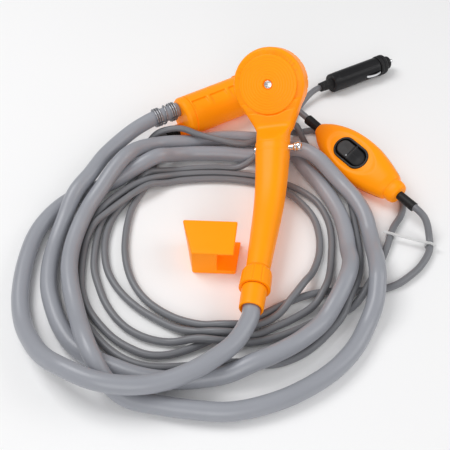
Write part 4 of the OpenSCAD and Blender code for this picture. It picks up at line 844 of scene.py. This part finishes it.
# Seam line of the two halves, a low bead along each side
x = np.linspace(*switchSettings["seam"], 90)
reach = curveAt(switchSettings["width"], x)
half, bead = switchSettings["seamHalf"], switchSettings["seamOut"]
corners = ((-half, -half), (bead, -half), (bead, half), (-half, half))
seamPoints, seamFaces, seamEnds = [], [], []
for side in (-1, 1):
    strip = np.stack([np.stack([x, side * (reach + out), np.full_like(x, z)], axis=1) for out, z in corners], axis=1)
    base, last = strip[..., 0].size * (side > 0), strip[..., 0].size - 4
    seamFaces.append(gridFaces(len(x), 4, True, base, flip=side < 0))
    seamEnds += [[base + v for v in cap[::-side]] for cap in ([0, 1, 2, 3], [last + 3, last + 2, last + 1, last])]
    seamPoints.append(strip)
switchSeam = putMesh("switchSeam", onSwitchLook(np.vstack(seamPoints)), np.vstack(seamFaces), materials["black"],
                     caps=seamEnds)
for name in ("bootLower", "bootUpper"):
    turnedBoot(name, bootSettings[name])
print("switch made")

# Valve pin through the neck, with a flanged chrome cap on the right and a short stub on the left
valveSettings = {"at": 175.5, "columns": 64, "seals": {"valveSealRight": -9.0, "valveSealLeft": 4.0},
                 "sealAxis": 0.8, "sealRadius": 3.2, "sealRise": 0.6,
                 "profile": ((18.4, 0.05), (18.4, 3.1), (18.1, 3.8), (17.4, 4.1), (13.5, 4.1), (13.4, 3.3),
                             (-21.4, 3.3), (-21.6, 4.0), (-22.2, 4.5), (-23.0, 4.6), (-23.3, 4.2), (-23.8, 4.2),
                             (-24.1, 4.6), (-27.2, 4.6), (-27.9, 4.2), (-28.2, 3.4), (-28.3, 0.05))}


def valveTurned(name, profile, material, ends, *replaced):
    # Profile turned round an axis that crosses the handle at the valve
    around = np.linspace(0, fullTurn, valveSettings["columns"], endpoint=False)
    points = turnedAlong(profile, around, plainReach)[..., [1, 0, 2]] + np.array([valveSettings["at"], 0, 0])
    dress(putGrid(name, onHandset(fromUpper(points)), material, "valve", ends=ends), material, *replaced)


valveTurned("valvePiece", fineProfile(valveSettings["profile"], 0.8), "chrome", "caps", "valve_pin", "valve_cap")
t = np.linspace(0, fullTurn, 12, endpoint=False)
for name, middle in valveSettings["seals"].items():
    profile = np.stack([middle + valveSettings["sealAxis"] * np.cos(t),
                        valveSettings["sealRadius"] + valveSettings["sealRise"] * np.sin(t)], axis=1)
    valveTurned(name, profile, "seal", "ring", "valve_seals")
print("valve made")

# 12 V plug: short boot, ridged barrel, knurled ring with its nose, sprung tip and two wire clips
plugSettings = {
    "lift": 1.2, "columns": 144, "ringColumns": 288, "knurls": 36, "knurl": 0.16, "knurledFrom": 10.7,
    "flat": {"at": 1.95, "half": 0.34, "start": 22.0, "end": 77.0, "fade": 2.0, "line": 0.3, "lineWidth": 0.035},
    "slot": {"start": 57.0, "end": 79.0, "half": 0.2, "floor": 6.4},
    "boot": ((0.0, 3.3), (0.0, 4.6), (0.5, 5.0), (3.6, 5.1), (3.9, 4.8), (4.4, 4.8), (4.7, 5.2), (8.2, 5.4),
             (8.5, 5.1), (9.0, 5.1), (9.3, 5.5), (14.6, 5.8), (15.0, 6.2)),
    "barrel": ((14.8, 5.0), (14.8, 9.4), (15.2, 10.0), (16.2, 10.3), (24.0, 10.6), (74.0, 10.6), (78.0, 10.4),
               (78.6, 9.6), (79.0, 9.0)),
    "ring": ((78.8, 9.2), (79.0, 10.6), (79.5, 11.1), (82.6, 11.2), (83.0, 10.8), (83.5, 10.8), (83.9, 11.2),
             (87.4, 11.1), (88.4, 10.6), (89.0, 9.4), (89.2, 5.6), (91.0, 5.6), (91.2, 7.0), (91.7, 7.4),
             (94.6, 7.3), (95.4, 6.8), (95.8, 5.8), (96.0, 2.4)),
    "tip": ((95.0, 2.5), (100.4, 2.5), (101.2, 2.1), (101.7, 1.4), (101.9, 0.05)),
    "clip": {"start": 58.0, "end": 78.0, "low": 9.6, "rise": 2.5, "wide": 1.3, "thick": 0.8},
}


def barrelReach(x, r, a):
    # Round barrel with a long flat that faces up and forward, edged by two fine lines, and a slot for each clip
    f, slot = plugSettings["flat"], plugSettings["slot"]
    d = (a - f["at"] + math.pi) % fullTurn - math.pi
    on = np.clip((x - f["start"]) / f["fade"], 0, 1) * np.clip((f["end"] - x) / f["fade"], 0, 1)
    flat = r * math.cos(f["half"]) / np.maximum(np.cos(d), 0.5)
    line = f["line"] * np.exp(-((np.abs(d) - f["half"]) / f["lineWidth"]) ** 2)
    reach = np.where(np.abs(d) < f["half"], r + on * (flat - r), r) - on * line
    inSlot = (np.abs(np.sin(a)) < slot["half"]) & (x > slot["start"]) & (x < slot["end"])
    return np.where(inSlot, np.minimum(reach, slot["floor"]), reach)


def ringReach(x, r, a):
    # Fine knurling on the widest part of the ring
    on = np.clip((r - plugSettings["knurledFrom"]) / 0.3, 0, 1)
    return r + plugSettings["knurl"] * on * np.cos(plugSettings["knurls"] * a)


def onPlugLook(points):
    # The visual plug lies a little higher than its solids, because its ring is wider
    return onPlug(np.asarray(points, float) + np.array([0, 0, plugSettings["lift"]]))


def plugPiece(name, key, reach, ends, material, body, slot, *replaced):
    # Turned piece round the plug's axis
    profile = fineProfile(plugSettings[key], 1.0)
    a = np.linspace(0, fullTurn, plugSettings["ringColumns" if key == "ring" else "columns"], endpoint=False)
    grid = onPlugLook(turnedAlong(profile, a, reach))
    dress(putGrid(name, grid, material, body, ends=ends), slot, *replaced)


def clipWire(side, body, node):
    # Flat spring wire that bows out of the barrel's side, a box section along a half wave
    c = plugSettings["clip"]
    t = np.linspace(0, 1, 40)
    x = c["start"] + (c["end"] - c["start"]) * t
    out = c["low"] + c["rise"] * np.sin(math.pi * t) ** 0.7
    corners = ((0, -c["wide"]), (c["thick"], -c["wide"]), (c["thick"], c["wide"]), (0, c["wide"]))
    strip = np.stack([np.stack([x, side * (out + k), np.full_like(x, z)], axis=1) for k, z in corners], axis=1)
    wire = putGrid(node + "Wire", onPlugLook(strip), "chrome", body, flip=side < 0, smooth=False)
    dress(wire, "steel", node)


plugPiece("plugBoot", "boot", plainReach, "ring", "rubber", "set", "black", "plug_boot")
plugPiece("plugBarrel", "barrel", barrelReach, "caps", "black", "set", "black", "plug_barrel")
plugPiece("plugRing", "ring", ringReach, "ring", "black", "ring", "black", "plug_ring")
plugPiece("plugTip", "tip", plainReach, "caps", "chrome", "tip", "steel", "plug_tip")
clipWire(1, "clip_a", "clip_left")
clipWire(-1, "clip_b", "clip_right")
print("plug made")

# Floor, soft light and camera
floorSettings = {"side": 8.0, "colour": (0.93, 0.93, 0.935), "roughness": 0.7, "specular": 0.2}
floorMesh = bpy.data.meshes.new("floor")
half = floorSettings["side"] / 2
floorMesh.from_pydata([(-half, -half, 0), (half, -half, 0), (half, half, 0), (-half, half, 0)], [], [(0, 1, 2, 3)])
floor = bpy.data.objects.new("floor", floorMesh)
bpy.context.collection.objects.link(floor)
floorMaterial = bpy.data.materials.new("floorPale")
floorMaterial.use_nodes = True
floorShader = floorMaterial.node_tree.nodes["Principled BSDF"]
floorShader.inputs["Base Color"].default_value = (*floorSettings["colour"], 1.0)
floorShader.inputs["Roughness"].default_value = floorSettings["roughness"]
floorShader.inputs["Specular IOR Level"].default_value = floorSettings["specular"]
floorMesh.materials.append(floorMaterial)

lightSettings = {
    "key": {"at": (-0.75, 0.35, 1.4), "size": 0.9, "power": 13.0},
    "fill": {"at": (1.25, 0.05, 0.85), "size": 0.9, "power": 5.5},
    "front": {"at": (-0.15, -1.35, 0.85), "size": 1.0, "power": 8.0},
}
lightTarget, worldStrength = np.array([0.0, -0.02, 0.0]), 0.35
for name, light in lightSettings.items():
    data = bpy.data.lights.new(name, "AREA")
    data.shape = "SQUARE"
    data.size = light["size"]
    data.energy = light["power"]
    lamp = bpy.data.objects.new(name, data)
    bpy.context.collection.objects.link(lamp)
    lamp.location = light["at"]
    aim = lightTarget - np.array(light["at"])
    level = math.hypot(aim[0], aim[1])
    lamp.rotation_euler = (math.atan2(level, -aim[2]), 0.0, math.atan2(aim[1], aim[0]) - math.pi / 2)
world = bpy.data.worlds.new("studio")
world.use_nodes = True
sky = world.node_tree.nodes["Background"]
sky.inputs["Color"].default_value = (1.0, 1.0, 1.0, 1.0)
sky.inputs["Strength"].default_value = worldStrength
bpy.context.scene.world = world
bpy.context.scene.view_settings.view_transform = "Standard"

cameraSettings = {"at": (-0.0026, -0.50254, 0.506), "pitch": 42.0, "lens": 57.6, "sensor": 36.0}
cameraData = bpy.data.cameras.new("camera")
cameraData.lens = cameraSettings["lens"]
cameraData.sensor_width = cameraSettings["sensor"]
cameraData.clip_start = 0.01
camera = bpy.data.objects.new("camera", cameraData)
camera.location = cameraSettings["at"]
camera.rotation_euler = (math.radians(cameraSettings["pitch"]), 0.0, 0.0)
bpy.context.collection.objects.link(camera)
bpy.context.scene.camera = camera
